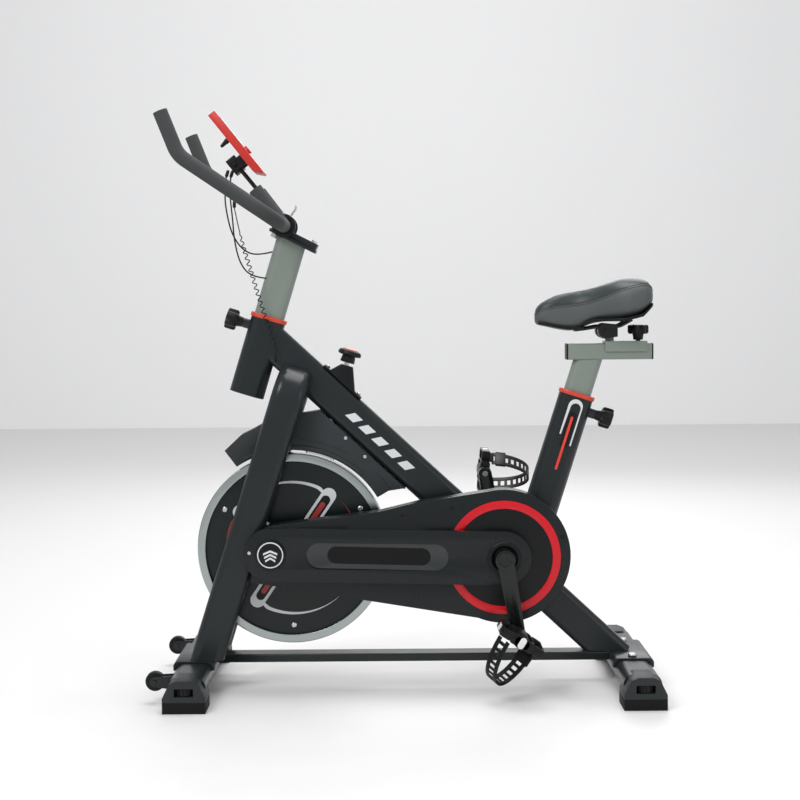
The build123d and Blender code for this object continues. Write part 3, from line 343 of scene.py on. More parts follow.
class Workshop:
    """The few ways in which pieces are made and finished."""

    @staticmethod
    def clear() -> None:
        """Leave edit mode and deselect everything."""
        if bpy.context.object and bpy.context.object.mode != "OBJECT":
            bpy.ops.object.mode_set(mode="OBJECT")
        bpy.ops.object.select_all(action="DESELECT")

    @classmethod
    def pick(cls, piece: bpy.types.Object) -> None:
        """Make one piece the only selected and active one.

        Args:
            piece: The piece to pick.
        """
        cls.clear()
        piece.select_set(True)
        bpy.context.view_layer.objects.active = piece

    @classmethod
    def settle(cls, piece: bpy.types.Object) -> bpy.types.Object:
        """Put the piece's place into its mesh.

        Args:
            piece: The piece to settle.

        Returns:
            The same piece, at the origin and unturned.
        """
        cls.pick(piece)
        bpy.ops.object.transform_apply(location=True, rotation=True, scale=True)
        return piece

    @classmethod
    def outward(cls, piece: bpy.types.Object, merge: float = 1e-6) -> None:
        """Merge doubles and turn all faces outward.

        Args:
            piece: The piece to mend.
            merge: How near two points count as one, in metres.
        """
        cls.pick(piece)
        bpy.ops.object.mode_set(mode="EDIT")
        bpy.ops.mesh.select_all(action="SELECT")
        bpy.ops.mesh.remove_doubles(threshold=merge)
        bpy.ops.mesh.normals_make_consistent(inside=False)
        bpy.ops.object.mode_set(mode="OBJECT")

    @classmethod
    def modify(cls, piece: bpy.types.Object, kind: str, **values: object) -> None:
        """Add one modifier, set it and apply it.

        Args:
            piece: The piece to change.
            kind: The modifier's type.
            values: Its settings by name.
        """
        cls.pick(piece)
        modifier = piece.modifiers.new(kind.lower(), kind)
        for key, value in values.items():
            setattr(modifier, key, value)
        bpy.ops.object.modifier_apply(modifier=modifier.name)

    @classmethod
    def round_edges(cls, piece: bpy.types.Object, width: float) -> None:
        """Round the sharp edges of a piece and shade it smooth between them."""
        cls.modify(piece, "BEVEL", width=width, segments=2, limit_method="ANGLE",
                   angle_limit=math.radians(SHARP), miter_outer="MITER_ARC", use_clamp_overlap=True)
        cls.smooth(piece)

    @classmethod
    def smooth(cls, piece: bpy.types.Object, angle: float = SHARP) -> None:
        """Shade smooth up to an angle."""
        cls.pick(piece)
        bpy.ops.object.shade_smooth_by_angle(angle=math.radians(angle))

    @classmethod
    def prism(cls, name: str, outline: Sequence[Pair], place: Matrix, depth: float,
              rounding: float = 0.0) -> bpy.types.Object:
        """A flat outline given depth along the normal of its plane.

        Args:
            name: The piece's name.
            outline: The outline's points in the plane, in metres.
            place: The plane's place in the row frame.
            depth: Depth along the plane's normal, in metres.
            rounding: Edge rounding, in metres.

        Returns:
            The finished piece.
        """
        cls.clear()
        bpy.ops.mesh.primitive_circle_add(vertices=len(outline), radius=0.01, fill_type="NGON")
        piece = bpy.context.object
        piece.name = name
        for vertex, (x, y) in zip(piece.data.vertices, outline):
            vertex.co = (x, y, 0.0)
        bpy.ops.object.mode_set(mode="EDIT")
        bpy.ops.mesh.select_all(action="SELECT")
        bpy.ops.mesh.extrude_region_move(TRANSFORM_OT_translate={"value": (0, 0, depth)})
        bpy.ops.object.mode_set(mode="OBJECT")
        piece.matrix_world = place
        cls.settle(piece)
        cls.outward(piece)
        if rounding:
            cls.round_edges(piece, rounding)
        return piece

    @classmethod
    def turned(cls, name: str, section: Sequence[Pair], place: Matrix, steps: int = 48,
               lobes: int = 0, lobe_depth: float = 0.0) -> bpy.types.Object:
        """A section of (radius, height) points spun about the place's own Z axis.

        Args:
            name: The piece's name.
            section: The closed section, radius first.
            place: The axis's place in the row frame.
            steps: Spin steps.
            lobes: How many finger lobes the outside gets.
            lobe_depth: Depth of the hollows between lobes, as a share of the radius.

        Returns:
            The finished piece.
        """
        cls.clear()
        bpy.ops.mesh.primitive_circle_add(vertices=len(section), radius=0.01, fill_type="NOTHING")
        piece = bpy.context.object
        piece.name = name
        for vertex, (radius, height) in zip(piece.data.vertices, section):
            vertex.co = (radius, 0.0, height)
        bpy.ops.object.mode_set(mode="EDIT")
        bpy.ops.mesh.select_all(action="SELECT")
        bpy.ops.mesh.spin(steps=steps, angle=math.tau, center=(0, 0, 0), axis=(0, 0, 1))
        bpy.ops.object.mode_set(mode="OBJECT")
        if lobes:
            widest = max(radius for radius, _ in section)
            for vertex in piece.data.vertices:
                radius = math.hypot(vertex.co.x, vertex.co.y)
                share = max(0.0, (radius / widest - 0.55) / 0.45)
                wave = 0.5 - 0.5 * math.cos(lobes * math.atan2(vertex.co.y, vertex.co.x))
                factor = 1 - lobe_depth * share * wave ** 1.6
                vertex.co.x *= factor
                vertex.co.y *= factor
        piece.matrix_world = place
        cls.settle(piece)
        cls.outward(piece, 1e-5)
        cls.smooth(piece)
        return piece

    @classmethod
    def bridged(cls, name: str, loops: Sequence[tuple[Sequence[Pair], float]]) -> bpy.types.Object:
        """A closed ring bridged between side outlines that lie at different depths.

        Args:
            name: The piece's name.
            loops: Outlines of equal length, each with its Y.

        Returns:
            The finished piece.
        """
        made = []
        for outline, y in loops:
            cls.clear()
            bpy.ops.mesh.primitive_circle_add(vertices=len(outline), radius=0.01, fill_type="NOTHING")
            loop = bpy.context.object
            for vertex, (x, z) in zip(loop.data.vertices, outline):
                vertex.co = (x, y, z)
            made.append(loop)
        piece = cls.joined(name, made)
        cls.pick(piece)
        bpy.ops.object.mode_set(mode="EDIT")
        bpy.ops.mesh.select_all(action="SELECT")
        bpy.ops.mesh.bridge_edge_loops(type="CLOSED")
        bpy.ops.object.mode_set(mode="OBJECT")
        cls.outward(piece)
        cls.smooth(piece, 40)
        return piece

    @classmethod
    def softened(cls, node: str, width: float) -> bpy.types.Object:
        """A copy of a frame node with its sharp edges rounded.

        Args:
            node: The node to copy and stand for.
            width: Edge rounding, in metres.

        Returns:
            The copy, which stands for the node.
        """
        source = frame["nodes"][node]
        piece = source.copy()
        piece.data = source.data.copy()
        piece.name = f"{node}_finished"
        piece.parent = None
        piece.matrix_world = Matrix.Identity(4)
        bpy.context.scene.collection.objects.link(piece)
        cls.pick(piece)
        bpy.ops.object.mode_set(mode="EDIT")
        bpy.ops.mesh.select_all(action="SELECT")
        bpy.ops.mesh.customdata_custom_splitnormals_clear()
        bpy.ops.mesh.remove_doubles(threshold=1e-5)
        bpy.ops.mesh.dissolve_limited(angle_limit=math.radians(0.6))
        bpy.ops.object.mode_set(mode="OBJECT")
        cls.round_edges(piece, width)
        return piece

    @staticmethod
    def dress(piece: bpy.types.Object, finish: Finish, slot: str = "") -> bpy.types.Object:
        """Give a piece one finish.

        Args:
            piece: The piece to dress.
            finish: Its finish.
            slot: The record's name for the finish, where it has one. It is not used.

        Returns:
            The same piece.
        """
        piece.data.materials.clear()
        piece.data.materials.append(finish.material())
        return piece

    @classmethod
    def joined(cls, name: str, pieces: Sequence[bpy.types.Object]) -> bpy.types.Object:
        """Join pieces into the first one and rename it.

        Args:
            name: The joined piece's name.
            pieces: The pieces, the first of which is kept.

        Returns:
            The joined piece.
        """
        cls.clear()
        for piece in pieces:
            piece.select_set(True)
        bpy.context.view_layer.objects.active = pieces[0]
        if len(pieces) > 1:
            bpy.ops.object.join()
        pieces[0].name = name
        return pieces[0]


def side_place(y: float) -> Matrix:
    """A plane at one Y with local x along +X, local y along +Z and its normal along -Y."""
    return Matrix(((1, 0, 0, 0), (0, 0, -1, y), (0, 1, 0, 0), (0, 0, 0, 1)))


def axis_place(origin: Vector, axis: Vector, across: Vector = Vector((0, 1, 0))) -> Matrix:
    """A place with its Z along an axis and its Y near a given direction.

    Args:
        origin: Where the place is.
        axis: The direction of its Z.
        across: The direction its Y is kept near.

    Returns:
        The place.
    """
    z = axis.normalized()
    x = across.cross(z).normalized()
    y = z.cross(x)
    place = Matrix((x, y, z)).transposed().to_4x4()
    place.translation = origin
    return place


def leaning(x: float, z: float, degrees: float, y: float = 0.0) -> Matrix:
    """A place whose Z leans toward +X by an angle from vertical."""
    a = math.radians(degrees)
    return axis_place(Vector((x, y, z)), Vector((math.sin(a), 0, math.cos(a))))


def round_loop(cx: float, cy: float, radius: float, start: float, end: float, count: int) -> list[Pair]:
    """Points on an arc from one angle to another, in degrees.

    Args:
        cx: The centre's first coordinate.
        cy: The centre's second coordinate.
        radius: The arc's radius.
        start: The first angle.
        end: The last angle.
        count: How many steps the arc takes.

    Returns:
        The points in order.
    """
    points = []
    for k in range(count + 1):
        a = math.radians(start + (end - start) * k / count)
        points.append((cx + radius * math.cos(a), cy + radius * math.sin(a)))
    return points


def pill(ax: float, ay: float, bx: float, by: float, radius: float, count: int = 14) -> list[Pair]:
    """An outline with round ends at two points."""
    angle = math.degrees(math.atan2(by - ay, bx - ax))
    return round_loop(bx, by, radius, angle - 90, angle + 90, count) + round_loop(
        ax, ay, radius, angle + 90, angle + 270, count)


def frame_body(node: str) -> str:
    """The body that a node belongs to.

    Args:
        node: The node's name.

    Returns:
        The body's name.
    """
    for body, members in frame["record"]["behaviour"]["bodies"].items():
        if node in members:
            return body
    raise KeyError(node)


# ---- frame nodes that only need their edges and their finish -------------------------------------


@dataclass
class FrameWork:
    """Tubes, sleeves, covers and hardware that keep the frame's own shapes."""

    rounded: dict[str, tuple[Finish, float]] = field(default_factory=lambda: {
        "end_caps": (CAP_PLASTIC, 0.005), "belt_guard_outer": (GUARD_PLASTIC, 0.004),
        "belt_guard_inner": (GUARD_PLASTIC, 0.002), "stay_cover": (GUARD_PLASTIC, 0.003),
        "guard_ring": (RING_RED, 0.0012), "guard_disc": (BLACK_PLASTIC, 0.0008),
        "cover_cap": (BLACK_PLASTIC, 0.002), "flywheel_fender": (FENDER_PLASTIC, 0.0012),
        "brake_housing": (BLACK_PLASTIC, 0.002), "sleeve_collars": (COLLAR_RED, 0.0014),
        "handlebar_plates": (FRAME_PAINT, 0.0015), "seat_carriage": (POST_PAINT, 0.0012),
        "seat_rail": (POST_PAINT, 0.0006), "rail_caps": (BLACK_PLASTIC, 0.0008),
        "crank_arm_left": (CRANK_BLACK, 0.002), "crank_arm_right": (CRANK_BLACK, 0.002),
        "stabiliser_brackets": (FRAME_PAINT, 0.001), "console": (CONSOLE_RED, 0.0016),
        "console_bracket": (BLACK_PLASTIC, 0.001), "side_stays": (FRAME_PAINT, 0.001),
        "saddle_base": (BLACK_PLASTIC, 0.0015), "tie_tube": (FRAME_PAINT, 0.0008),
        "frame_bolts": (ZINC, 0.0004), "flywheel_rim": (RIM_PLATE, 0.0025),
    })
    plain: dict[str, Finish] = field(default_factory=lambda: {
        "main_tube": FRAME_PAINT, "head_sleeve": FRAME_PAINT, "seat_sleeve": FRAME_PAINT,
        "front_legs": FRAME_PAINT, "bottom_bracket": DARK_STEEL, "front_stabiliser": FRAME_PAINT,
        "rear_stabiliser": FRAME_PAINT, "dial_front_left": BLACK_PLASTIC, "dial_front_right": BLACK_PLASTIC,
        "dial_rear_left": BLACK_PLASTIC, "dial_rear_right": BLACK_PLASTIC, "wheel_left": WHEEL_RUBBER,
        "wheel_right": WHEEL_RUBBER, "flywheel_disc": DISC_PAINT,
        "flywheel_axle": ZINC, "crank_axle": CRANK_BLACK, "drive_belt": FOOT_BLACK, "pedal_spindles": ZINC,
        "brake_rod": ZINC, "handlebar_post": POST_PAINT, "handlebar": GRIP_FOAM, "centre_grips": GRIP_FOAM,
        "clamp_bolts": ZINC, "console_button": CONSOLE_RED, "seat_post": POST_PAINT,
        "saddle_rails": CRANK_BLACK,
    })
    display_back: float = -0.0082
    guard_screws: Point = (-0.2, -0.08, 0.2)
    foot_strip: float = 0.022

    def _second_finish(self, piece: bpy.types.Object, finish: Finish, inside: Callable[[Vector], bool]) -> None:
        """Give the faces whose middles pass a test a second finish.

        Args:
            piece: The piece.
            finish: The second finish.
            inside: The test of a face's middle.
        """
        piece.data.materials.append(finish.material())
        spot = len(piece.data.materials) - 1
        for polygon in piece.data.polygons:
            if inside(polygon.center):
                polygon.material_index = spot

    def _touch_up(self, node: str, piece: bpy.types.Object) -> None:
        """Dress the parts of a node that are of another finish.

        Args:
            node: The node that the piece stands for.
            piece: The piece.
        """
        if node == "console":
            place = leaning(*DISPLAY).inverted()
            self._second_finish(piece, BLACK_PLASTIC, lambda spot: (place @ spot).z < self.display_back)
        if node == "frame_bolts":
            x, y, z = self.guard_screws
            self._second_finish(piece, BLACK_PLASTIC, lambda spot: spot.x > x and spot.y < y and spot.z > z)
        if node == "end_caps":
            self._second_finish(piece, FOOT_BLACK, lambda spot: spot.z < self.foot_strip + 0.0001)

    def build(self) -> None:
        """Round and dress the nodes."""
        slots = {part["node"]: part["material_slot"] for part in frame["record"]["subparts"]}
        for node, (finish, width) in self.rounded.items():
            piece = Workshop.softened(node, width)
            if node == "end_caps":
                Workshop.pick(piece)
                bpy.ops.object.mode_set(mode="EDIT")
                bpy.ops.mesh.select_all(action="SELECT")
                bpy.ops.mesh.bisect(plane_co=(0, 0, self.foot_strip), plane_no=(0, 0, 1))
                bpy.ops.object.mode_set(mode="OBJECT")
            Workshop.dress(piece, finish, slots[node])
            self._touch_up(node, piece)
            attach(piece, frame_body(node))
            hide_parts(node)
            log.info("rounded %s", node)
        for node, finish in self.plain.items():
            shown = frame["nodes"][node]
            shown.data.materials.clear()
            shown.data.materials.append(finish.material())


# ---- flywheel -----------------------------------------------------------------------------------


@dataclass
class FlywheelPrint:
    """The printed spokes and arcs on both faces of the flywheel disc, and its screws."""

    face: float = 0.008
    thick: float = 0.0004
    spoke_reach: float = 0.146
    spoke_angles: Pair = (55.5, 145.5)
    spoke_layers: tuple[tuple[float, float, float, int, Finish], ...] = (
        # start, how far short of the reach, half width, thicknesses, finish
        (0.060, 0.0152, 0.0152, 2, SILVER), (0.066, 0.0265, 0.0092, 3, BLACK_PLASTIC),
        (0.070, 0.038, 0.0052, 4, DULL_RED))
    arc_outer: float = 0.138
    arc_inner: float = 0.131
    arc_sweep: float = 76.0
    arc_steps: int = 36
    arc_lead: float = 2.5
    arc_root: float = 9.0
    arc_starts: tuple[float, ...] = (56.0, 146.0, 236.0, 326.0)
    screw_circle: float = 0.160
    screw_angles: tuple[float, ...] = (30.0, 150.0, 270.0)

    def _spoke(self, angle: float, y: float, name: str) -> list[bpy.types.Object]:
        """The silver pill, its dark window and its red bar at one end of a spoke.

        Args:
            angle: The spoke's angle, in degrees.
            y: The face it is printed on.
            name: The piece's name.

        Returns:
            The printed layers.
        """
        a = math.radians(angle)
        ux, uz = math.cos(a), math.sin(a)
        cx, cz = FLYWHEEL.x, FLYWHEEL.z
        made = []
        for near, short, radius, lift, finish in self.spoke_layers:
            far = self.spoke_reach - short
            shape = pill(cx + near * ux, cz + near * uz, cx + far * ux, cz + far * uz, radius)
            depth = self.thick * lift
            piece = Workshop.prism(name, shape, side_place(y + depth if y > 0 else y), depth)
            made.append(Workshop.dress(piece, finish))
        return made

    def _arc(self, start: float, y: float, finish: Finish, name: str) -> bpy.types.Object:
        """An arc that starts broad and tapers to a point.

        Args:
            start: The arc's first angle, in degrees.
            y: The face it is printed on.
            finish: Its finish.
            name: The piece's name.

        Returns:
            The arc.
        """
        outer, inner, sweep, count = self.arc_outer, self.arc_inner, self.arc_sweep, self.arc_steps
        edge = []
        for k in range(count + 1):
            turn = sweep * k / count
            rise = max(0.0, 1 - turn / self.arc_root)
            edge.append((turn, outer - 0.010 * rise * rise))
        points = []
        for turn, radius in edge:
            a = math.radians(start + self.arc_lead + turn)
            points.append((FLYWHEEL.x + radius * math.cos(a), FLYWHEEL.z + radius * math.sin(a)))
        for turn, radius in reversed(edge[:-1]):
            share = turn / sweep
            low = min(inner + (outer - inner) * share ** 1.4, radius - 0.0002)
            low = low if turn > self.arc_root else low - 0.006 * (1 - turn / self.arc_root)
            a = math.radians(start + self.arc_lead + turn)
            points.append((FLYWHEEL.x + low * math.cos(a), FLYWHEEL.z + low * math.sin(a)))
        place = side_place(y + self.thick if y > 0 else y)
        return Workshop.dress(Workshop.prism(name, points, place, self.thick), finish)

    def _screws(self, y: float, name: str) -> list[bpy.types.Object]:
        """The three disc screws on one face.

        Args:
            y: The face they stand on.
            name: The start of the pieces' names.

        Returns:
            The screws.
        """
        way = Vector((0, 1 if y > 0 else -1, 0))
        made = []
        for angle in self.screw_angles:
            a = math.radians(angle)
            spot = FLYWHEEL + Vector((math.cos(a), 0, math.sin(a))) * self.screw_circle + Vector((0, y, 0))
            section = [(0.0, 0.0), (0.0055, 0.0), (0.0055, 0.0014), (0.004, 0.0024), (0.0022, 0.0024),
                       (0.0022, 0.0012), (0.0, 0.0012)]
            screw = Workshop.turned(name + "_screw", section, axis_place(spot, way, Vector((1, 0, 0))), 20)
            made.append(Workshop.dress(screw, ZINC))
        return made

    def build(self) -> None:
        """Print both faces."""
        for side, y in (("near", -self.face), ("far", self.face)):
            parts = []
            for angle in self.spoke_angles:
                parts += self._spoke(angle, y, f"spoke_print_{side}")
                parts += self._spoke(angle + 180, y, f"spoke_print_{side}")
            for k, start in enumerate(self.arc_starts):
                parts.append(self._arc(start, y, DULL_RED if k % 2 else SILVER, f"arc_print_{side}"))
            parts += self._screws(y, f"disc_{side}")
            piece = Workshop.joined(f"flywheel_print_{side}", parts)
            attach(piece, Body.FLYWHEEL.value)
            log.info("printed the %s face", side)


# ---- guard and frame graphics ---------------------------------------------------------------------


@dataclass
class Trim:
    """Printed stripes, the cover's emblem and inner slot, fender ribs, wheel nuts and the bar clip.

    An outline is the x and z of its two ends and its radius.
    """

    cover_face: float = -0.112
    recess: float = 0.006
    recess_outline: tuple[float, ...] = (-0.168, 0.28275, 0.062, 0.27625, 0.0259)
    slot_outline: tuple[float, ...] = (-0.136, 0.28185, 0.036, 0.27695, 0.0165)
    cap: Point = (-0.2655, -0.117, 0.284)
    bar_centre: Point = (-0.047, 0.0, 0.500)
    bar_slope: float = 43.0
    bar_count: int = 5
    bar_pitch: float = 0.036
    bar_length: float = 0.022
    bar_half: float = 0.0085
    bar_lean: float = 0.006
    loop_top: Pair = (0.3505, 0.5685)
    loop_radius: float = 0.0148
    loop_hole: float = 0.0105
    loop_band: float = 0.0030
    sleeve_face: float = -0.0221
    fender_bead: Pair = (0.2125, 0.2055)
    fender_line: Pair = (0.228, 0.2255)
    rib_start: Pair = (-0.052, 0.437)
    wheel_axle: Pair = (-0.490, 0.0445)
    wheel_track: float = 0.160
    wheel_face: float = 0.0082
    clip_root: tuple[float, ...] = (-0.2225, 0.9585, 27.0, -0.008)

    def _flat(self, name: str, shape: Sequence[Pair], y: float, depth: float, finish: Finish,
              body: Body = Body.FRAME, rounding: float = 0.0) -> bpy.types.Object:
        """One thin piece on a side face.

        Args:
            name: The piece's name.
            shape: Its outline.
            y: The face it lies on.
            depth: Its thickness.
            finish: Its finish.
            body: The body it rides on.
            rounding: Its edge rounding.

        Returns:
            The piece.
        """
        piece = Workshop.prism(name, shape, side_place(y), depth, rounding)
        Workshop.dress(piece, finish)
        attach(piece, body.value)
        return piece

    def emblem(self) -> None:
        """A plain chevron badge with a silver rim on the cover's cap."""
        spot = Vector(self.cap)
        out = Vector((0, -1, 0))
        rim = Workshop.turned("cap_rim", [(0.0235, 0), (0.026, 0), (0.0255, 0.0008), (0.024, 0.0008)],
                              axis_place(spot, out, Vector((1, 0, 0))), 64)
        Workshop.dress(rim, SILVER)
        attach(rim, Body.FRAME.value)
        for k, drop in enumerate((0.006, -0.001, -0.008)):
            half = 0.014 - 0.002 * k
            z = spot.z + drop
            shape = [(spot.x - half, z - 0.006), (spot.x, z), (spot.x + half, z - 0.006),
                     (spot.x + half, z - 0.002), (spot.x, z + 0.004), (spot.x - half, z - 0.002)]
            self._flat(f"cap_chevron_{k}", shape, spot.y, 0.0006, SILVER)

    def cover(self) -> None:
        """The recess's ramp, lighter than the cover as a painted highlight on its slopes, the raised inner
        slot, a black sheet that is painted shade of a deeper slot, and the collar round the crank.
        """
        floor = self.cover_face + self.recess
        wide = pill(*self.recess_outline, 20)
        narrow = pill(*self.slot_outline, 20)
        ramp = Workshop.bridged("cover_ramp", [(wide, self.cover_face + 0.0002), (wide, floor - 0.0001),
                                               (narrow, floor - 0.0001)])
        # The ramp is dressed lighter than the cover as a painted highlight on its slopes.
        Workshop.dress(ramp, RECESS_PAINTED_HIGHLIGHT)
        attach(ramp, Body.FRAME.value)
        # Painted shade: a black sheet on the recess floor stands in for the shade inside the deeper slot.
        self._flat("cover_slot_painted_shade", narrow, floor, 0.0008, FOOT_BLACK)
        collar = Workshop.turned(
            "crank_collar",
            [(0.0245, 0.0), (0.034, 0.0), (0.034, 0.0015), (0.032, 0.0032), (0.0265, 0.0032), (0.0245, 0.0015)],
            axis_place(CRANK_AXIS + Vector((0, self.cover_face, 0)), Vector((0, -1, 0)), Vector((1, 0, 0))), 64)
        Workshop.dress(collar, BLACK_PLASTIC)
        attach(collar, Body.FRAME.value)

    def tube_stripes(self) -> None:
        """Slanted plain bars in place of a word on the main tube's left side."""
        a = math.radians(self.bar_slope)
        along = Vector((math.cos(a), 0, -math.sin(a)))
        across = Vector((math.sin(a), 0, math.cos(a)))
        parts = []
        for k in range(self.bar_count):
            mid = Vector(self.bar_centre) + along * self.bar_pitch * (k - (self.bar_count - 1) / 2)
            corners = []
            for s, t in ((-1, -1), (1, -1), (1, 1), (-1, 1)):
                p = mid + along * (s * self.bar_length / 2 + t * self.bar_lean) + across * (t * self.bar_half)
                corners.append((p.x, p.z))
            parts.append(Workshop.prism("tube_bars", corners, side_place(-0.02), 0.0005))
        piece = Workshop.joined("tube_bars", parts)
        Workshop.dress(piece, SILVER)
        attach(piece, Body.FRAME.value)

    def sleeve_print(self) -> None:
        """The silver loop, dark pill and red line on the seat sleeve."""
        lean = SEAT_SLEEVE[2]
        a = math.radians(lean)
        ux, uz = math.sin(a), math.cos(a)
        cx, cz = self.loop_top
        face, wide = self.sleeve_face, self.loop_radius
        silver = round_loop(cx, cz, wide, -lean, 180 - lean, 24)
        left, right = (cx - wide * uz, cz + wide * ux), (cx + wide * uz, cz - wide * ux)
        end_l = (left[0] - 0.062 * ux, left[1] - 0.062 * uz)
        end_r = (right[0] - 0.080 * ux, right[1] - 0.080 * uz)
        thin, inner_r = self.loop_band, self.loop_hole
        shape = silver + [end_l, (end_l[0] + thin * uz, end_l[1] - thin * ux)]
        shape += [(cx - inner_r * uz, cz + inner_r * ux - 0.004)]
        shape += list(reversed(round_loop(cx, cz - 0.004, inner_r, -lean, 180 - lean, 24)))
        shape += [(end_r[0] - thin * uz, end_r[1] + thin * ux), end_r]
        self._flat("sleeve_loop", shape, face, 0.0004, SILVER)
        low = (cx - 0.020 * ux, cz - 0.020 * uz)
        self._flat("sleeve_pill", pill(low[0], low[1], low[0] - 0.060 * ux, low[1] - 0.060 * uz, 0.0085),
                   face, 0.0004, BLACK_PLASTIC)
        start = (low[0] - 0.004 * ux, low[1] - 0.004 * uz)
        line = pill(start[0], start[1], start[0] - 0.108 * ux, start[1] - 0.108 * uz, 0.0026)
        self._flat("sleeve_line", line, face - 0.0003, 0.0006, BRIGHT_RED)

    def fender(self) -> None:
        """The bead along the fender's lower edge and three short ribs, on both sides."""
        for side in (-1, 1):
            parts = []
            y = -0.027 if side < 0 else 0.0285
            outer, inner = self.fender_bead
            arc = round_loop(FLYWHEEL.x, FLYWHEEL.z, outer, 47, 118, 40)
            arc += list(reversed(round_loop(FLYWHEEL.x, FLYWHEEL.z, inner, 47, 118, 40)))
            place = side_place(y if side < 0 else y + 0.0015)
            parts.append(Workshop.prism("fender_bead", arc, place, 0.003, 0.0012))
            outer, inner = self.fender_line
            arc = round_loop(FLYWHEEL.x, FLYWHEEL.z, outer, 60, 112, 30)
            arc += list(reversed(round_loop(FLYWHEEL.x, FLYWHEEL.z, inner, 60, 112, 30)))
            parts.append(Workshop.prism("fender_bead", arc, side_place(y), 0.001, 0.0004))
            for k in range(3):
                x, z = self.rib_start[0] + 0.009 * k, self.rib_start[1] - 0.008 * k
                parts.append(Workshop.prism("fender_rib", pill(x, z, x + 0.014, z - 0.018, 0.0018, 6),
                                            side_place(y), 0.0015, 0.0004))
            piece = Workshop.joined(f"fender_ribs_{'left' if side < 0 else 'right'}", parts)
            Workshop.dress(piece, FENDER_PLASTIC)
            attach(piece, Body.FRAME.value)

    def wheel_hubs(self) -> None:
        """The bright axle nuts of the two transport wheels."""
        for tag, side in (("left", -1), ("right", 1)):
            for face, way in (("out", side), ("in", -side)):
                y = side * self.wheel_track + way * self.wheel_face
                x, z = self.wheel_axle
                place = axis_place(Vector((x, y, z)), Vector((0, way, 0)), Vector((1, 0, 0)))
                section = [(0, 0), (0.0052, 0), (0.0052, 0.0016), (0.0036, 0.003), (0, 0.003)]
                nut = Workshop.turned(f"wheel_nut_{tag}_{face}", section, place, 24)
                Workshop.dress(nut, ZINC)
                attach(nut, f"{tag}_wheel")

    def clamp_clip(self) -> None:
        """The small sprung clip that stands on the bar clamp."""
        place = leaning(*self.clip_root)
        blade = [(-0.0015, 0.0), (0.0015, 0.0), (0.0040, 0.014), (0.0015, 0.022), (-0.0035, 0.024),
                 (-0.0005, 0.014)]
        turned = place @ Matrix.Rotation(math.radians(90), 4, "X")
        piece = Workshop.prism("clamp_clip", blade, turned, 0.012, 0.0004)
        Workshop.dress(piece, ZINC)
        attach(piece, Body.MAST.value)

    def build(self) -> None:
        """Make every trim piece."""
        self.wheel_hubs()
        self.clamp_clip()
        self.emblem()
        self.cover()
        self.tube_stripes()
        self.sleeve_print()
        self.fender()
        log.info("trim done")


# ---- knobs --------------------------------------------------------------------------------------


@dataclass
class Knobs:
    """Lobed hand knobs of the two pull pins and the carriage, and the brake knob."""

    pins: tuple[tuple[str, Point, float, int], ...] = (
        # node, sleeve, height up the sleeve, side
        ("head_pin", HEAD_SLEEVE, 0.139, -1), ("seat_pin", SEAT_SLEEVE, -0.024, 1))
    pin_reach: float = 0.060
    shank_reach: float = 0.0475
    shank: float = 0.018
    pin_head: Point = (0.021, 0.0238, 0.0278)
    carriage_spot: Point = (0.4805, 0.0, 0.715)
    carriage_head: Point = (0.0213, 0.0188, 0.0178)
    brake_way: Pair = (0.2874, 0.9578)

    def _lobed(self, name: str, spot: Vector, way: Vector, radius: float, height: float,
               stem: float) -> bpy.types.Object:
        """A lobed knob whose head starts at the spot and whose stem reaches back from it.

        Args:
            name: The knob's name.
            spot: Where its head starts.
            way: The way its axis points.
            radius: The head's radius.
            height: The head's height.
            stem: How far the stem reaches back.

        Returns:
            The knob.
        """
        section = [(0, -stem), (0.0045, -stem), (0.0045, -0.012), (0.0095, -0.012), (0.0115, 0.0),
                   (radius * 0.86, 0.0), (radius, 0.003), (radius, height - 0.004),
                   (radius * 0.93, height - 0.001), (radius * 0.55, height), (0.007, height - 0.0008),
                   (0.006, height - 0.002), (0, height - 0.002)]
        return Workshop.turned(name, section, axis_place(spot, way), 96, 6, 0.2)

    def build(self) -> None:
        """Make the four knobs in place of their plain solids."""
        for node, sleeve, up, way in self.pins:
            place = leaning(*sleeve)
            axis = place.to_3x3() @ Vector((way, 0, 0))
            spot = place @ Vector((way * self.pin_reach, 0, up))
            knob = self._lobed(f"{node}_knob", spot, axis, *self.pin_head)
            Workshop.dress(knob, BLACK_PLASTIC, "black_plastic")
            shank = Workshop.turned(
                f"{node}_shank", [(0, 0), (0.0044, 0), (0.0044, self.shank), (0, self.shank)],
                axis_place(place @ Vector((way * self.shank_reach, 0, up)), axis), 24)
            Workshop.dress(shank, ZINC, "zinc")
            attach(knob, frame_body(node))
            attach(shank, frame_body(node))
            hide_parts(node)
        spot = Vector(self.carriage_spot)
        knob = self._lobed("carriage_knob_head", spot, Vector((0, 0, 1)), *self.carriage_head)
        Workshop.dress(knob, BLACK_PLASTIC, "black_plastic")
        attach(knob, frame_body("rail_knob"))
        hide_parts("rail_knob")
        a = math.atan2(*self.brake_way)
        place = leaning(FLYWHEEL.x, FLYWHEEL.z, math.degrees(a))
        neck = Workshop.turned(
            "brake_knob_neck",
            [(0.0052, 0.3962), (0.0145, 0.3962), (0.015, 0.398), (0.0135, 0.4105), (0.0052, 0.4105)], place, 64)
        Workshop.dress(neck, BLACK_PLASTIC, "black_plastic")
        head = Workshop.turned(
            "brake_knob_head",
            [(0, 0.4107), (0.021, 0.4107), (0.0238, 0.4128), (0.024, 0.4158), (0.0215, 0.4205),
             (0.0165, 0.4225), (0.0155, 0.4222), (0, 0.4222)], place, 96, 18, 0.04)
        Workshop.dress(head, BLACK_PLASTIC, "black_plastic")
        badge = Workshop.turned(
            "brake_knob_badge", [(0, 0.4222), (0.0152, 0.4222), (0.0146, 0.4234), (0.006, 0.4239), (0, 0.4239)],
            place, 64)
        Workshop.dress(badge, COLLAR_RED, "collar_red")
        for piece in (neck, head, badge):
            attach(piece, Body.BRAKE_KNOB.value)
        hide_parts("tension_knob")
        log.info("knobs done")


# ---- pedals -------------------------------------------------------------------------------------


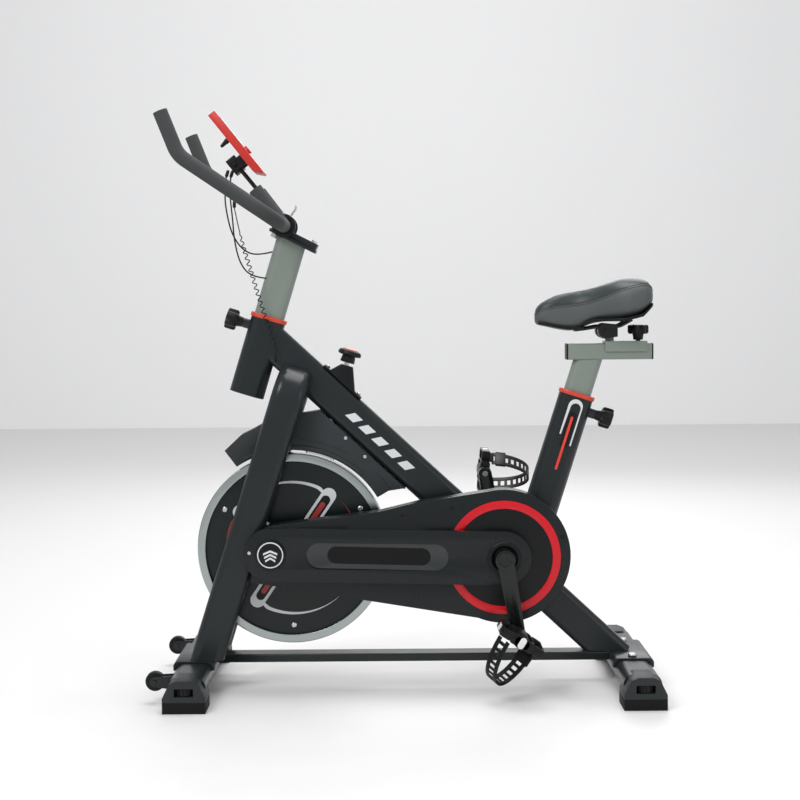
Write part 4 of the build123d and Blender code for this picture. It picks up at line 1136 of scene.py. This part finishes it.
@dataclass
class Pedal:
    """One pedal with its cage, reflectors and slotted strap, in its own side plane.

    Attributes:
        node: The node it stands for.
        body: The body it rides on.
        centre: The middle of its spindle.
        turn: How far it is turned about the spindle, in degrees.
        side: -1 for the left pedal and 1 for the right one.
        strap_swing: How far the strap is turned across the pedal, in degrees.
        inner: Distance of its inner end from the bike's middle.
        outer: Distance of its outer end from the bike's middle.
    """

    node: str
    body: Body
    centre: Vector
    turn: float
    side: int
    strap_swing: float = 40.0
    inner: float = 0.142
    outer: float = 0.232
    cheek: float = 0.010
    strap_middle: float = 0.187
    strap_half: float = 0.0168
    strap_rail: float = 0.0095
    strap_spread: float = 0.040
    strap_foot: float = 0.011
    strap_bars: int = 17
    strap_ridges: int = 9

    def _place(self, y: float) -> Matrix:
        """The pedal's own side plane at one distance from the middle.

        Args:
            y: The plane's Y.

        Returns:
            The plane.
        """
        spin = Matrix.Rotation(math.radians(self.turn), 4, "Z")
        base = side_place(y)
        base.translation = Vector((self.centre.x, y, self.centre.z))
        return base @ spin

    def _span(self, near: float, far: float) -> tuple[float, float]:
        """The start and depth of a piece that lies between two distances from the middle."""
        start = -near if self.side < 0 else far
        return start, far - near

    def _block(self, name: str, shape: Sequence[Pair], near: float, far: float,
               rounding: float) -> bpy.types.Object:
        """A prism across part of the pedal's width."""
        y, depth = self._span(near, far)
        return Workshop.prism(name, shape, self._place(y), depth, rounding)

    def _swing(self, piece: bpy.types.Object) -> bpy.types.Object:
        """Turn a strap piece diagonally across the pedal, about the pedal's own upright.

        Args:
            piece: The strap piece.

        Returns:
            The same piece.
        """
        lean = math.radians(self.turn)
        upright = Vector((-math.sin(lean), 0, math.cos(lean)))
        middle = Vector((self.centre.x, self.side * self.strap_middle, self.centre.z))
        turned = Matrix.Rotation(math.radians(self.side * self.strap_swing), 4, upright)
        piece.matrix_world = Matrix.Translation(middle) @ turned @ Matrix.Translation(-middle)
        return Workshop.settle(piece)

    def _arch(self, near: float, far: float, start: float, end: float, reach: float, thick: float,
              name: str) -> bpy.types.Object:
        """One run of the strap between two angles of its arch.

        Args:
            near: Its inner edge, from the middle of the bike.
            far: Its outer edge.
            start: The first angle, in degrees.
            end: The last angle.
            reach: The height of the arch.
            thick: The run's thickness.
            name: The piece's name.

        Returns:
            The run.
        """
        count = max(4, int(abs(end - start) / 5))
        outer, inner = [], []
        for k in range(count + 1):
            a = math.radians(start + (end - start) * k / count)
            spread, foot = self.strap_spread, self.strap_foot
            outer.append((spread * math.cos(a), foot + reach * math.sin(a)))
            inner.append(((spread - thick) * math.cos(a), foot + (reach - thick) * math.sin(a)))
        return self._block(name, outer + list(reversed(inner)), near, far, 0.0003)

    def _strap(self) -> list[bpy.types.Object]:
        """The strap: two side rails joined by cross bars, so that slots stand between them.

        Returns:
            The parts of the strap.
        """
        middle, half, rail = self.strap_middle, self.strap_half, self.strap_rail
        parts = []
        for near, far in ((middle - half, middle - half + rail), (middle + half - rail, middle + half)):
            parts.append(self._arch(near, far, 2, 178, 0.0878, 0.0023, f"{self.node}_rail"))
        for k in range(self.strap_bars):
            start = 6 + 10.2 * k
            parts.append(self._arch(middle - half + rail - 0.0004, middle + half - rail + 0.0004,
                                    start, start + 4.4, 0.0874, 0.0019, f"{self.node}_bar"))
        for k in range(self.strap_ridges):
            start = 76 + 3.4 * k
            parts.append(self._arch(middle - half, middle + half, start, start + 1.5, 0.0880, 0.0026,
                                    f"{self.node}_ridge"))
        return [self._swing(part) for part in parts]

    def build(self) -> None:
        """Make the pedal in place of its plain solids."""
        tag = self.node
        parts = []
        core = [(-0.026, -0.006), (-0.020, -0.0105), (0.020, -0.0105), (0.026, -0.006), (0.026, 0.006),
                (0.020, 0.0105), (-0.020, 0.0105), (-0.026, 0.006)]
        barrel = pill(-0.004, 0, 0.004, 0, 0.0125, 12)
        parts.append(self._block(f"{tag}_barrel", barrel, self.inner, self.outer, 0.0015))
        ear = [(-0.046, -0.004), (-0.042, -0.009), (-0.024, -0.009), (-0.024, 0.009), (-0.042, 0.009),
               (-0.046, 0.004)]
        for near, far in ((self.inner, self.inner + self.cheek), (self.outer - self.cheek, self.outer)):
            parts.append(self._block(f"{tag}_cheek", core, near, far, 0.002))
            parts.append(self._block(f"{tag}_ear", ear, near, far, 0.002))
            parts.append(self._block(f"{tag}_ear", [(-x, y) for x, y in reversed(ear)], near, far, 0.002))
        for sign in (-1, 1):
            bar = [(sign * 0.046, -0.0085), (sign * 0.0425, -0.0085), (sign * 0.0425, 0.0085),
                   (sign * 0.046, 0.0085)]
            parts.append(self._block(f"{tag}_tread", bar, self.inner, self.outer, 0.001))
            grip = [(sign * 0.024, -0.0095), (sign * 0.0205, -0.0095), (sign * 0.0205, 0.0095),
                    (sign * 0.024, 0.0095)]
            near, far = self.inner + self.cheek, self.outer - self.cheek
            parts.append(self._block(f"{tag}_grip", grip, near, far, 0.001))
        parts += self._strap()
        buckle = [(-0.0415, 0.022), (-0.0355, 0.022), (-0.0345, 0.044), (-0.0405, 0.044)]
        parts.append(self._swing(self._block(f"{tag}_buckle", buckle, 0.168, 0.206, 0.001)))
        tail = [(-0.0405, 0.018), (-0.038, 0.018), (-0.044, 0.002), (-0.0465, 0.002)]
        parts.append(self._swing(self._block(f"{tag}_tail", tail, 0.174, 0.200, 0.0004)))
        body = Workshop.joined(f"{tag}_finished", parts)
        Workshop.dress(body, BLACK_PLASTIC, "black_plastic")
        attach(body, self.body.value)
        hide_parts(self.node)
        for sign in (-1, 1):
            lens = [(sign * 0.0462, -0.006), (sign * 0.0475, -0.0055), (sign * 0.0475, 0.0055),
                    (sign * 0.0462, 0.006)]
            end_name = "front" if sign < 0 else "rear"
            piece = self._block(f"{tag}_reflector_{end_name}", lens, 0.172, 0.202, 0.0004)
            Workshop.dress(piece, REFLECTOR)
            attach(piece, self.body.value)
        end = pill(0, -0.0055, 0, 0.0055, 0.0062, 10)
        cap = self._block(f"{tag}_end_badge", end, self.outer, self.outer + 0.001, 0.0003)
        Workshop.dress(cap, REFLECTOR)
        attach(cap, self.body.value)
        log.info("%s done", tag)


# ---- display ------------------------------------------------------------------------------------


@dataclass
class Display:
    """The display's window, bezel, seam and cable boot."""

    place: Point = DISPLAY
    glass_up: float = 0.0078
    bezel_up: float = 0.0076
    seam_up: float = -0.0045
    boot_spot: Point = (-0.020, -0.012, -0.008)
    boot_way: Point = (0.1, 0.0, -1.0)

    @staticmethod
    def _panel(low: float, high: float, half: float) -> list[Pair]:
        """An oblong from one end of the display's face to the other."""
        return [(low, -half), (high, -half), (high, half), (low, half)]

    def build(self) -> None:
        """Make the display's visible details."""
        place = leaning(*self.place)
        for name, outline, up, depth, rounding, finish in (
            ("display_window", self._panel(-0.062, 0.002, 0.034), self.glass_up, 0.0009, 0.0004, GLASS_DARK),
            ("display_bezel", self._panel(-0.066, 0.006, 0.038), self.bezel_up, 0.0006, 0.0003, BLACK_PLASTIC),
            ("display_seam", self._panel(-0.0772, 0.0632, 0.0482), self.seam_up, 0.0008, 0.0, DULL_RED),
        ):
            panel = Workshop.prism(name, outline, place @ Matrix.Translation((0, 0, up)), depth, rounding)
            Workshop.dress(panel, finish)
            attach(panel, Body.DISPLAY.value)
        boot_axis = place.to_3x3() @ Vector(self.boot_way)
        boot = Workshop.turned(
            "cable_boot",
            [(0, 0), (0.0055, 0), (0.0055, 0.006), (0.0042, 0.008), (0.0046, 0.010), (0.0036, 0.012),
             (0.004, 0.014), (0.0026, 0.020), (0, 0.020)],
            axis_place(place @ Vector(self.boot_spot), boot_axis), 24)
        Workshop.dress(boot, BLACK_PLASTIC)
        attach(boot, Body.DISPLAY.value)
        log.info("display done")


# ---- cords --------------------------------------------------------------------------------------


@dataclass
class Cords:
    """The two thin signal wires and the curly cord."""

    upper: tuple[Point, ...] = (
        (-0.352, -0.024, 1.036), (-0.356, -0.027, 1.000), (-0.351, -0.030, 0.960), (-0.341, -0.032, 0.920),
        (-0.320, -0.031, 0.889), (-0.292, -0.026, 0.878), (-0.262, -0.015, 0.886))
    lower: tuple[Point, ...] = (
        (-0.344, -0.014, 1.036), (-0.346, -0.017, 0.998), (-0.341, -0.019, 0.955), (-0.338, -0.020, 0.908),
        (-0.327, -0.020, 0.862), (-0.305, -0.017, 0.836), (-0.2755, -0.010, 0.833))
    curly: tuple[Point, ...] = (
        (-0.3356, -0.034, 0.974), (-0.3233, -0.038, 0.912), (-0.299, -0.040, 0.832), (-0.275, -0.040, 0.750),
        (-0.256, -0.036, 0.690), (-0.257, -0.034, 0.674), (-0.2575, -0.0201, 0.664))
    wire_radius: float = 0.0015
    coil_wire: float = 0.0011
    coil_lead: float = 0.048
    coil_tail: float = 0.030
    coil_pitch: float = 0.0125
    coil_radius: float = 0.0038
    coil_steps: int = 10

    def route(self, name: str, points: Sequence[Point], radius: float) -> bpy.types.Object:
        """A smooth line through a cord's own route.

        Args:
            name: The cord's name.
            points: The route's control points.
            radius: The cord's radius, or 0 for a bare line.

        Returns:
            The curve.
        """
        curve = bpy.data.curves.new(name, "CURVE")
        curve.dimensions = "3D"
        curve.resolution_u = 12
        curve.bevel_depth = radius
        curve.bevel_resolution = 4
        curve.use_fill_caps = True
        spline = curve.splines.new("NURBS")
        spline.points.add(len(points) - 1)
        for spot, point in zip(spline.points, points):
            spot.co = (*point, 1.0)
        spline.order_u = 3
        spline.use_endpoint_u = True
        made = bpy.data.objects.new(name, curve)
        bpy.context.scene.collection.objects.link(made)
        return made

    def line_points(self, points: Sequence[Point]) -> list[Vector]:
        """Points read from the route's own spline.

        Args:
            points: The route's control points.

        Returns:
            The points along it.
        """
        bare = self.route("bare_route", points, 0.0)
        bpy.context.view_layer.update()
        mesh = bpy.data.meshes.new_from_object(bare)
        found = [vertex.co.copy() for vertex in mesh.vertices]
        bpy.data.meshes.remove(mesh)
        bpy.data.objects.remove(bare)
        return found

    @staticmethod
    def length_of(points: Sequence[Vector]) -> float:
        """The length of a line of points."""
        return sum((b - a).length for a, b in zip(points, points[1:]))

    def coil(self) -> list[Point]:
        """The curly cord's line: straight at both ends, wound between them.

        Returns:
            The line's points.
        """
        line = self.line_points(self.curly)
        total = self.length_of(line)
        start, end = self.coil_lead, total - self.coil_tail
        turns = round((end - start) / self.coil_pitch)
        marks = []
        walked = 0.0
        for a, b in zip(line, line[1:]):
            marks.append((walked, a, b))
            walked += (b - a).length

        def at(distance: float) -> tuple[Vector, Vector]:
            """The point and direction at a distance along the line.

            Args:
                distance: The distance from its start.

            Returns:
                The point and the direction there.
            """
            for done, a, b in reversed(marks):
                if distance >= done:
                    step = (b - a).normalized()
                    return a + step * (distance - done), step
            return line[0], (line[1] - line[0]).normalized()

        made: list[Point] = []
        count = turns * self.coil_steps
        for k in range(0, 5):
            made.append(tuple(at(start * k / 5)[0]))
        for k in range(count + 1):
            share = k / count
            spot, way = at(start + (end - start) * share)
            side = way.cross(Vector((0, 1, 0))).normalized()
            up = side.cross(way).normalized()
            fade = min(1.0, 8 * share, 8 * (1 - share))
            a = math.tau * turns * share
            spot = spot + (side * math.cos(a) + up * math.sin(a)) * self.coil_radius * fade
            made.append(tuple(spot))
        for k in range(1, 5):
            made.append(tuple(at(end + (total - end) * k / 4)[0]))
        made[-1] = self.curly[-1]
        return made

    def build(self) -> None:
        for node, points in (("wire_upper", self.upper), ("wire_lower", self.lower)):
            cord = self.route(f"{node}_cord", points, self.wire_radius)
            cord.data.materials.append(CORD_BLACK.material())
            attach(cord, Body.MAST.value)
            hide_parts(node)
            length = self.length_of(self.line_points(points))
        wound = self.coil()
        cord = self.route("curly_cord_wound", wound, self.coil_wire)
        cord.data.resolution_u = 3
        cord.data.bevel_resolution = 2
        line = self.line_points(wound)
        Workshop.pick(cord)
        bpy.ops.object.convert(target="MESH")
        cord = bpy.context.object
        Workshop.smooth(cord, 60)
        Workshop.dress(cord, CORD_BLACK, "cord_black")
        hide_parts("curly_cord")
        length = self.length_of(line)
        log.info("curly cord is %.3f m", length)
        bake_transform(cord)
        section = [(0, 0), (0.0026, 0), (0.0034, 0.002), (0.0034, 0.010), (0.0028, 0.014), (0, 0.014)]
        plugs = ((self.upper[0], (0.3, 0.1, 1)), (self.lower[0], (0.3, 0.1, 1)), (self.curly[0], (0.0, 0.2, 1)))
        for k, (spot, way) in enumerate(plugs):
            plug = Workshop.turned(f"wire_plug_{k}", section, axis_place(Vector(spot), Vector(way)), 20)
            Workshop.dress(plug, BLACK_PLASTIC)
            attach(plug, Body.MAST.value)
        log.info("cords done")


# ---- saddle -------------------------------------------------------------------------------------


@dataclass
class Saddle:
    """The padded saddle cover: crowned, swollen by a cloth run, with its seams sewn on after."""

    stations: tuple[tuple[float, float, float, float], ...] = (
        # x, half width, top height, bottom height
        (0.2672, 0.006, 0.752, 0.742), (0.2695, 0.014, 0.764, 0.739), (0.276, 0.021, 0.7725, 0.738),
        (0.289, 0.0265, 0.781, 0.736), (0.317, 0.0315, 0.7905, 0.730), (0.338, 0.034, 0.7945, 0.729),
        (0.356, 0.037, 0.7975, 0.731), (0.374, 0.045, 0.8012, 0.741), (0.393, 0.056, 0.8065, 0.747),
        (0.412, 0.071, 0.8135, 0.748), (0.430, 0.083, 0.8200, 0.749), (0.447, 0.090, 0.8245, 0.751),
        (0.462, 0.0925, 0.8260, 0.754), (0.478, 0.0905, 0.8260, 0.759), (0.490, 0.084, 0.8240, 0.768),
        (0.498, 0.072, 0.8175, 0.774), (0.5035, 0.055, 0.8095, 0.779), (0.5065, 0.034, 0.800, 0.783))
    around: int = 36
    grid: float = 0.005
    most_swell: float = 0.0035
    pressure: float = 4.0
    frames: int = 20
    stitch: float = 0.0050
    stitch_gap: float = 0.0014
    thread: float = 0.00055
    seam_apart: float = 0.0035

    def _section(self, station: tuple[float, float, float, float]) -> list[Point]:
        """One closed cross section, crowned on top with the sides rolled under.

        Args:
            station: Its x, half width, top and bottom.

        Returns:
            The section's points.
        """
        x, half, top, bottom = station
        top, bottom = top + 0.003, bottom - 0.004
        points = []
        middle = bottom + (top - bottom) * 0.42
        for k in range(self.around):
            a = math.tau * k / self.around
            c, s = math.cos(a), math.sin(a)
            power = 0.62 if s > 0 else 0.5
            y = half * math.copysign(abs(c) ** 0.72, c)
            z = middle + (top - middle if s > 0 else middle - bottom) * math.copysign(abs(s) ** power, s)
            dip = 0.0
            if s > 0 and half > 0.03:
                dip = 0.003 * math.exp(-((y / (0.22 * half)) ** 2)) * min(1.0, (half - 0.03) / 0.03)
            droop = 0.003 * (abs(y) / 0.09) ** 2 if s > 0 else 0.0
            points.append((x, y, z - dip - droop))
        return points

    def _shell(self) -> bpy.types.Object:
        """The closed form before it is swollen.

        Returns:
            The cover, not yet dressed.
        """
        rings = [self._section(station) for station in self.stations]
        points = [p for ring in rings for p in ring]
        faces = []
        n = self.around
        for r in range(len(rings) - 1):
            for k in range(n):
                a, b = r * n + k, r * n + (k + 1) % n
                faces.append((a, b, b + n, a + n))
        faces.append(tuple(reversed(range(n))))
        faces.append(tuple(range((len(rings) - 1) * n, len(rings) * n)))
        mesh = bpy.data.meshes.new("saddle_cover")
        mesh.from_pydata(points, [], faces)
        piece = bpy.data.objects.new("saddle_cover", mesh)
        bpy.context.scene.collection.objects.link(piece)
        Workshop.outward(piece)
        return piece

    def _swell(self, piece: bpy.types.Object) -> None:
        """Swell the form with a short cloth run and cap how far it moves.

        Args:
            piece: The cover.
        """
        Workshop.modify(piece, "SUBSURF", levels=2, render_levels=2)
        Workshop.modify(piece, "REMESH", mode="VOXEL", voxel_size=self.grid)
        before = [vertex.co.copy() for vertex in piece.data.vertices]
        cloth = piece.modifiers.new("cloth", "CLOTH")
        cloth.settings.use_pressure = True
        cloth.settings.uniform_pressure_force = self.pressure
        cloth.settings.mass = 0.3
        cloth.settings.tension_stiffness = 20
        cloth.settings.compression_stiffness = 20
        cloth.settings.bending_stiffness = 2
        cloth.settings.effector_weights.gravity = 0.0
        cloth.point_cache.frame_start = 1
        cloth.point_cache.frame_end = self.frames
        for step in range(1, self.frames + 1):
            bpy.context.scene.frame_set(step)
        Workshop.pick(piece)
        bpy.ops.object.modifier_apply(modifier=cloth.name)
        bpy.context.scene.frame_set(1)
        for vertex, start in zip(piece.data.vertices, before):
            move = vertex.co - start
            if move.length > self.most_swell:
                vertex.co = start + move.normalized() * self.most_swell
        Workshop.modify(piece, "SMOOTH", factor=0.5, iterations=3)
        Workshop.modify(piece, "SUBSURF", levels=1, render_levels=1)

    def _seam_height(self, x: float, lower: float = 0.0) -> float:
        """The height of the panel seam at one x.

        Args:
            x: Where along the saddle.
            lower: How far below the seam.

        Returns:
            The height.
        """
        first, last = self.stations[0][0], self.stations[-1][0]
        share = min(max((x - first) / (last - first), 0.0), 1.0)
        return self._at(x, 2) - 0.004 - 0.016 * math.sin(math.pi * share ** 0.85) ** 0.8 - lower

    def _seam_line(self, piece: bpy.types.Object, lower: float, side: int, count: int = 110) -> list[Vector]:
        """Points on the cover's flank along the panel seam.

        Args:
            piece: The cover.
            lower: How far below the seam.
            side: -1 for the left flank and 1 for the right one.
            count: How many steps the line takes.

        Returns:
            The points in order.
        """
        found = []
        first, last = self.stations[1], self.stations[-2]
        for k in range(count + 1):
            x = first[0] + (last[0] - first[0]) * k / count
            start = Vector((x, side * 0.2, self._seam_height(x, lower)))
            hit, spot, normal, _ = piece.ray_cast(start, Vector((0, -side, 0)))
            if hit:
                found.append(spot + normal * 0.0003)
        return found

    def _at(self, x: float, column: int) -> float:
        """A station value read at one x.

        Args:
            x: Where along the saddle.
            column: Which value of a station.

        Returns:
            The value.
        """
        for a, b in zip(self.stations, self.stations[1:]):
            if a[0] <= x <= b[0]:
                share = (x - a[0]) / (b[0] - a[0])
                return a[column] + (b[column] - a[column]) * share
        return self.stations[-1][column]

    def _stitches(self, line: Sequence[Vector], name: str) -> bpy.types.Object:
        """A run of thread stitches along a line.

        Args:
            line: The points of the line.
            name: The run's name.

        Returns:
            The stitches.
        """
        curve = bpy.data.curves.new(name, "CURVE")
        curve.dimensions = "3D"
        curve.bevel_depth = self.thread
        curve.bevel_resolution = 2
        curve.use_fill_caps = True
        pitch, gap = self.stitch, self.stitch_gap
        walked, spots = 0.0, [line[0]]
        segments = []
        for a, b in zip(line, line[1:]):
            walked += (b - a).length
            spots.append(b)
            if walked >= pitch - gap:
                segments.append(spots)
                spots, walked = [b + (b - a).normalized() * gap], -gap
        for spots in segments:
            spline = curve.splines.new("POLY")
            spline.points.add(len(spots) - 1)
            for point, spot in zip(spline.points, spots):
                point.co = (*spot, 1.0)
        made = bpy.data.objects.new(name, curve)
        bpy.context.scene.collection.objects.link(made)
        Workshop.pick(made)
        bpy.ops.object.convert(target="MESH")
        return bpy.context.object

    def build(self) -> None:
        """Make the cover, its panels and its seams."""
        cover = self._shell()
        self._swell(cover)
        cover.data.materials.clear()
        # Faces below the seam get the flank vinyl, darker as painted shade on the sides; faces above it get the
        # lighter top vinyl.
        cover.data.materials.append(FLANK_VINYL_SHADED.material())
        cover.data.materials.append(VINYL_TOP.material())
        for polygon in cover.data.polygons:
            middle = polygon.center
            polygon.material_index = 1 if middle.z > self._seam_height(middle.x) else 0
            polygon.use_smooth = True
        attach(cover, Body.SADDLE.value)
        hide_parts("saddle_pad")
        for side in (-1, 1):
            for lower, tag in ((0.0, "upper"), (self.seam_apart, "lower")):
                line = self._seam_line(cover, lower, side)
                seam = self._stitches(line, f"saddle_stitches_{tag}_{'left' if side < 0 else 'right'}")
                Workshop.dress(seam, THREAD)
                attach(seam, Body.SADDLE.value)
        log.info("saddle done")


# ---- room ---------------------------------------------------------------------------------------


@dataclass
class Studio:
    """The pale floor, the soft lights and the camera."""

    eye: Point = (-0.014, -3.170, 0.787)
    lens: float = 69.93
    down: float = 3.68
    turn: float = 0.147
    roll: float = 0.4
    sensor: float = 36.0
    air: tuple[float, ...] = (0.93, 0.94, 0.96, 1.0)
    air_strength: float = 0.62
    lamps: tuple[tuple[str, Point, Point, float, float], ...] = (
        # name, place, target, power, size
        ("key", (-1.6, -2.2, 2.9), (0, 0, 0.6), 60.0, 1.4), ("fill", (2.8, -2.4, 1.4), (0, 0, 0.5), 14.0, 2.0),
        ("top", (0.2, 0.3, 3.2), (0, 0, 0.4), 62.0, 1.8), ("back", (0.6, 3.0, 2.2), (0, 0, 0.7), 26.0, 2.0),
        ("wall", (0, 2.6, 3.6), (0, 6.5, 1.0), 52.0, 3.0))

    def floor(self) -> None:
        """A wide pale floor and a pale wall far behind."""
        Workshop.clear()
        bpy.ops.mesh.primitive_plane_add(size=14, location=(0, 2, 0))
        floor = bpy.context.object
        floor.name = "studio_floor"
        paint = Finish("studio_floor_paint", (0.74, 0.73, 0.725), 0.5, grain=60, depth=0.0, vary=0.02,
                       scuff=0.0)
        Workshop.dress(floor, paint)
        Workshop.clear()
        bpy.ops.mesh.primitive_plane_add(size=16, location=(0, 6.5, 4.0), rotation=(math.radians(90), 0, 0))
        wall = bpy.context.object
        wall.name = "studio_wall"
        paint = Finish("studio_wall_paint", (0.90, 0.90, 0.90), 0.8, grain=40, depth=0.0, vary=0.01, scuff=0.0)
        Workshop.dress(wall, paint)

    def lights(self) -> None:
        """The soft lamps and the pale air round the bike."""
        for name, spot, target, power, size in self.lamps:
            light = bpy.data.lights.new(name, "AREA")
            light.energy = power
            light.size = size
            lamp = bpy.data.objects.new(name, light)
            lamp.location = spot
            lamp.rotation_euler = (Vector(target) - Vector(spot)).to_track_quat("-Z", "Y").to_euler()
            bpy.context.scene.collection.objects.link(lamp)
        world = bpy.data.worlds.new("studio_air")
        world.use_nodes = True
        back = world.node_tree.nodes["Background"]
        back.inputs["Color"].default_value = self.air
        back.inputs["Strength"].default_value = self.air_strength
        bpy.context.scene.world = world
        bpy.context.scene.view_settings.view_transform = "Standard"

    def camera(self) -> None:
        """The side camera."""
        down, turn, roll = (math.radians(v) for v in (self.down, self.turn, self.roll))
        forward = Vector((math.sin(turn) * math.cos(down), math.cos(turn) * math.cos(down), -math.sin(down)))
        right = Vector((math.cos(turn), -math.sin(turn), 0))
        up = right.cross(forward)
        level_right = right * math.cos(roll) - up * math.sin(roll)
        level_up = up * math.cos(roll) + right * math.sin(roll)
        lens = bpy.data.cameras.new("side_camera")
        lens.sensor_width = self.sensor
        lens.lens = self.lens
        lens.clip_end = 60.0
        camera = bpy.data.objects.new("side_camera", lens)
        turned = Matrix((level_right, level_up, -forward)).transposed().to_4x4()
        turned.translation = Vector(self.eye)
        camera.matrix_world = turned
        bpy.context.scene.collection.objects.link(camera)
        bpy.context.scene.camera = camera

    def build(self) -> None:
        """Set up the room."""
        self.floor()
        self.lights()
        self.camera()


def pedals() -> Iterable[Pedal]:
    """The two pedals at the ends of the crank.

    Returns:
        The left pedal and then the right one.
    """
    a = math.radians(CRANK_ANGLE)
    reach = Vector((CRANK_LENGTH * math.sin(a), 0, -CRANK_LENGTH * math.cos(a)))
    yield Pedal("pedal_left", Body.LEFT_PEDAL, CRANK_AXIS + reach, 148.0, -1)
    yield Pedal("pedal_right", Body.RIGHT_PEDAL, CRANK_AXIS - reach, -95.0, 1)


def main() -> None:
    """Build every sub-assembly in order."""
    logging.basicConfig(level=logging.INFO, format="%(message)s")
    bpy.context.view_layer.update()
    FrameWork().build()
    FlywheelPrint().build()
    Trim().build()
    Knobs().build()
    for pedal in pedals():
        pedal.build()
    Display().build()
    Cords().build()
    Saddle().build()
    Studio().build()
    Workshop.clear()


if __name__ == "__main__":
    main()
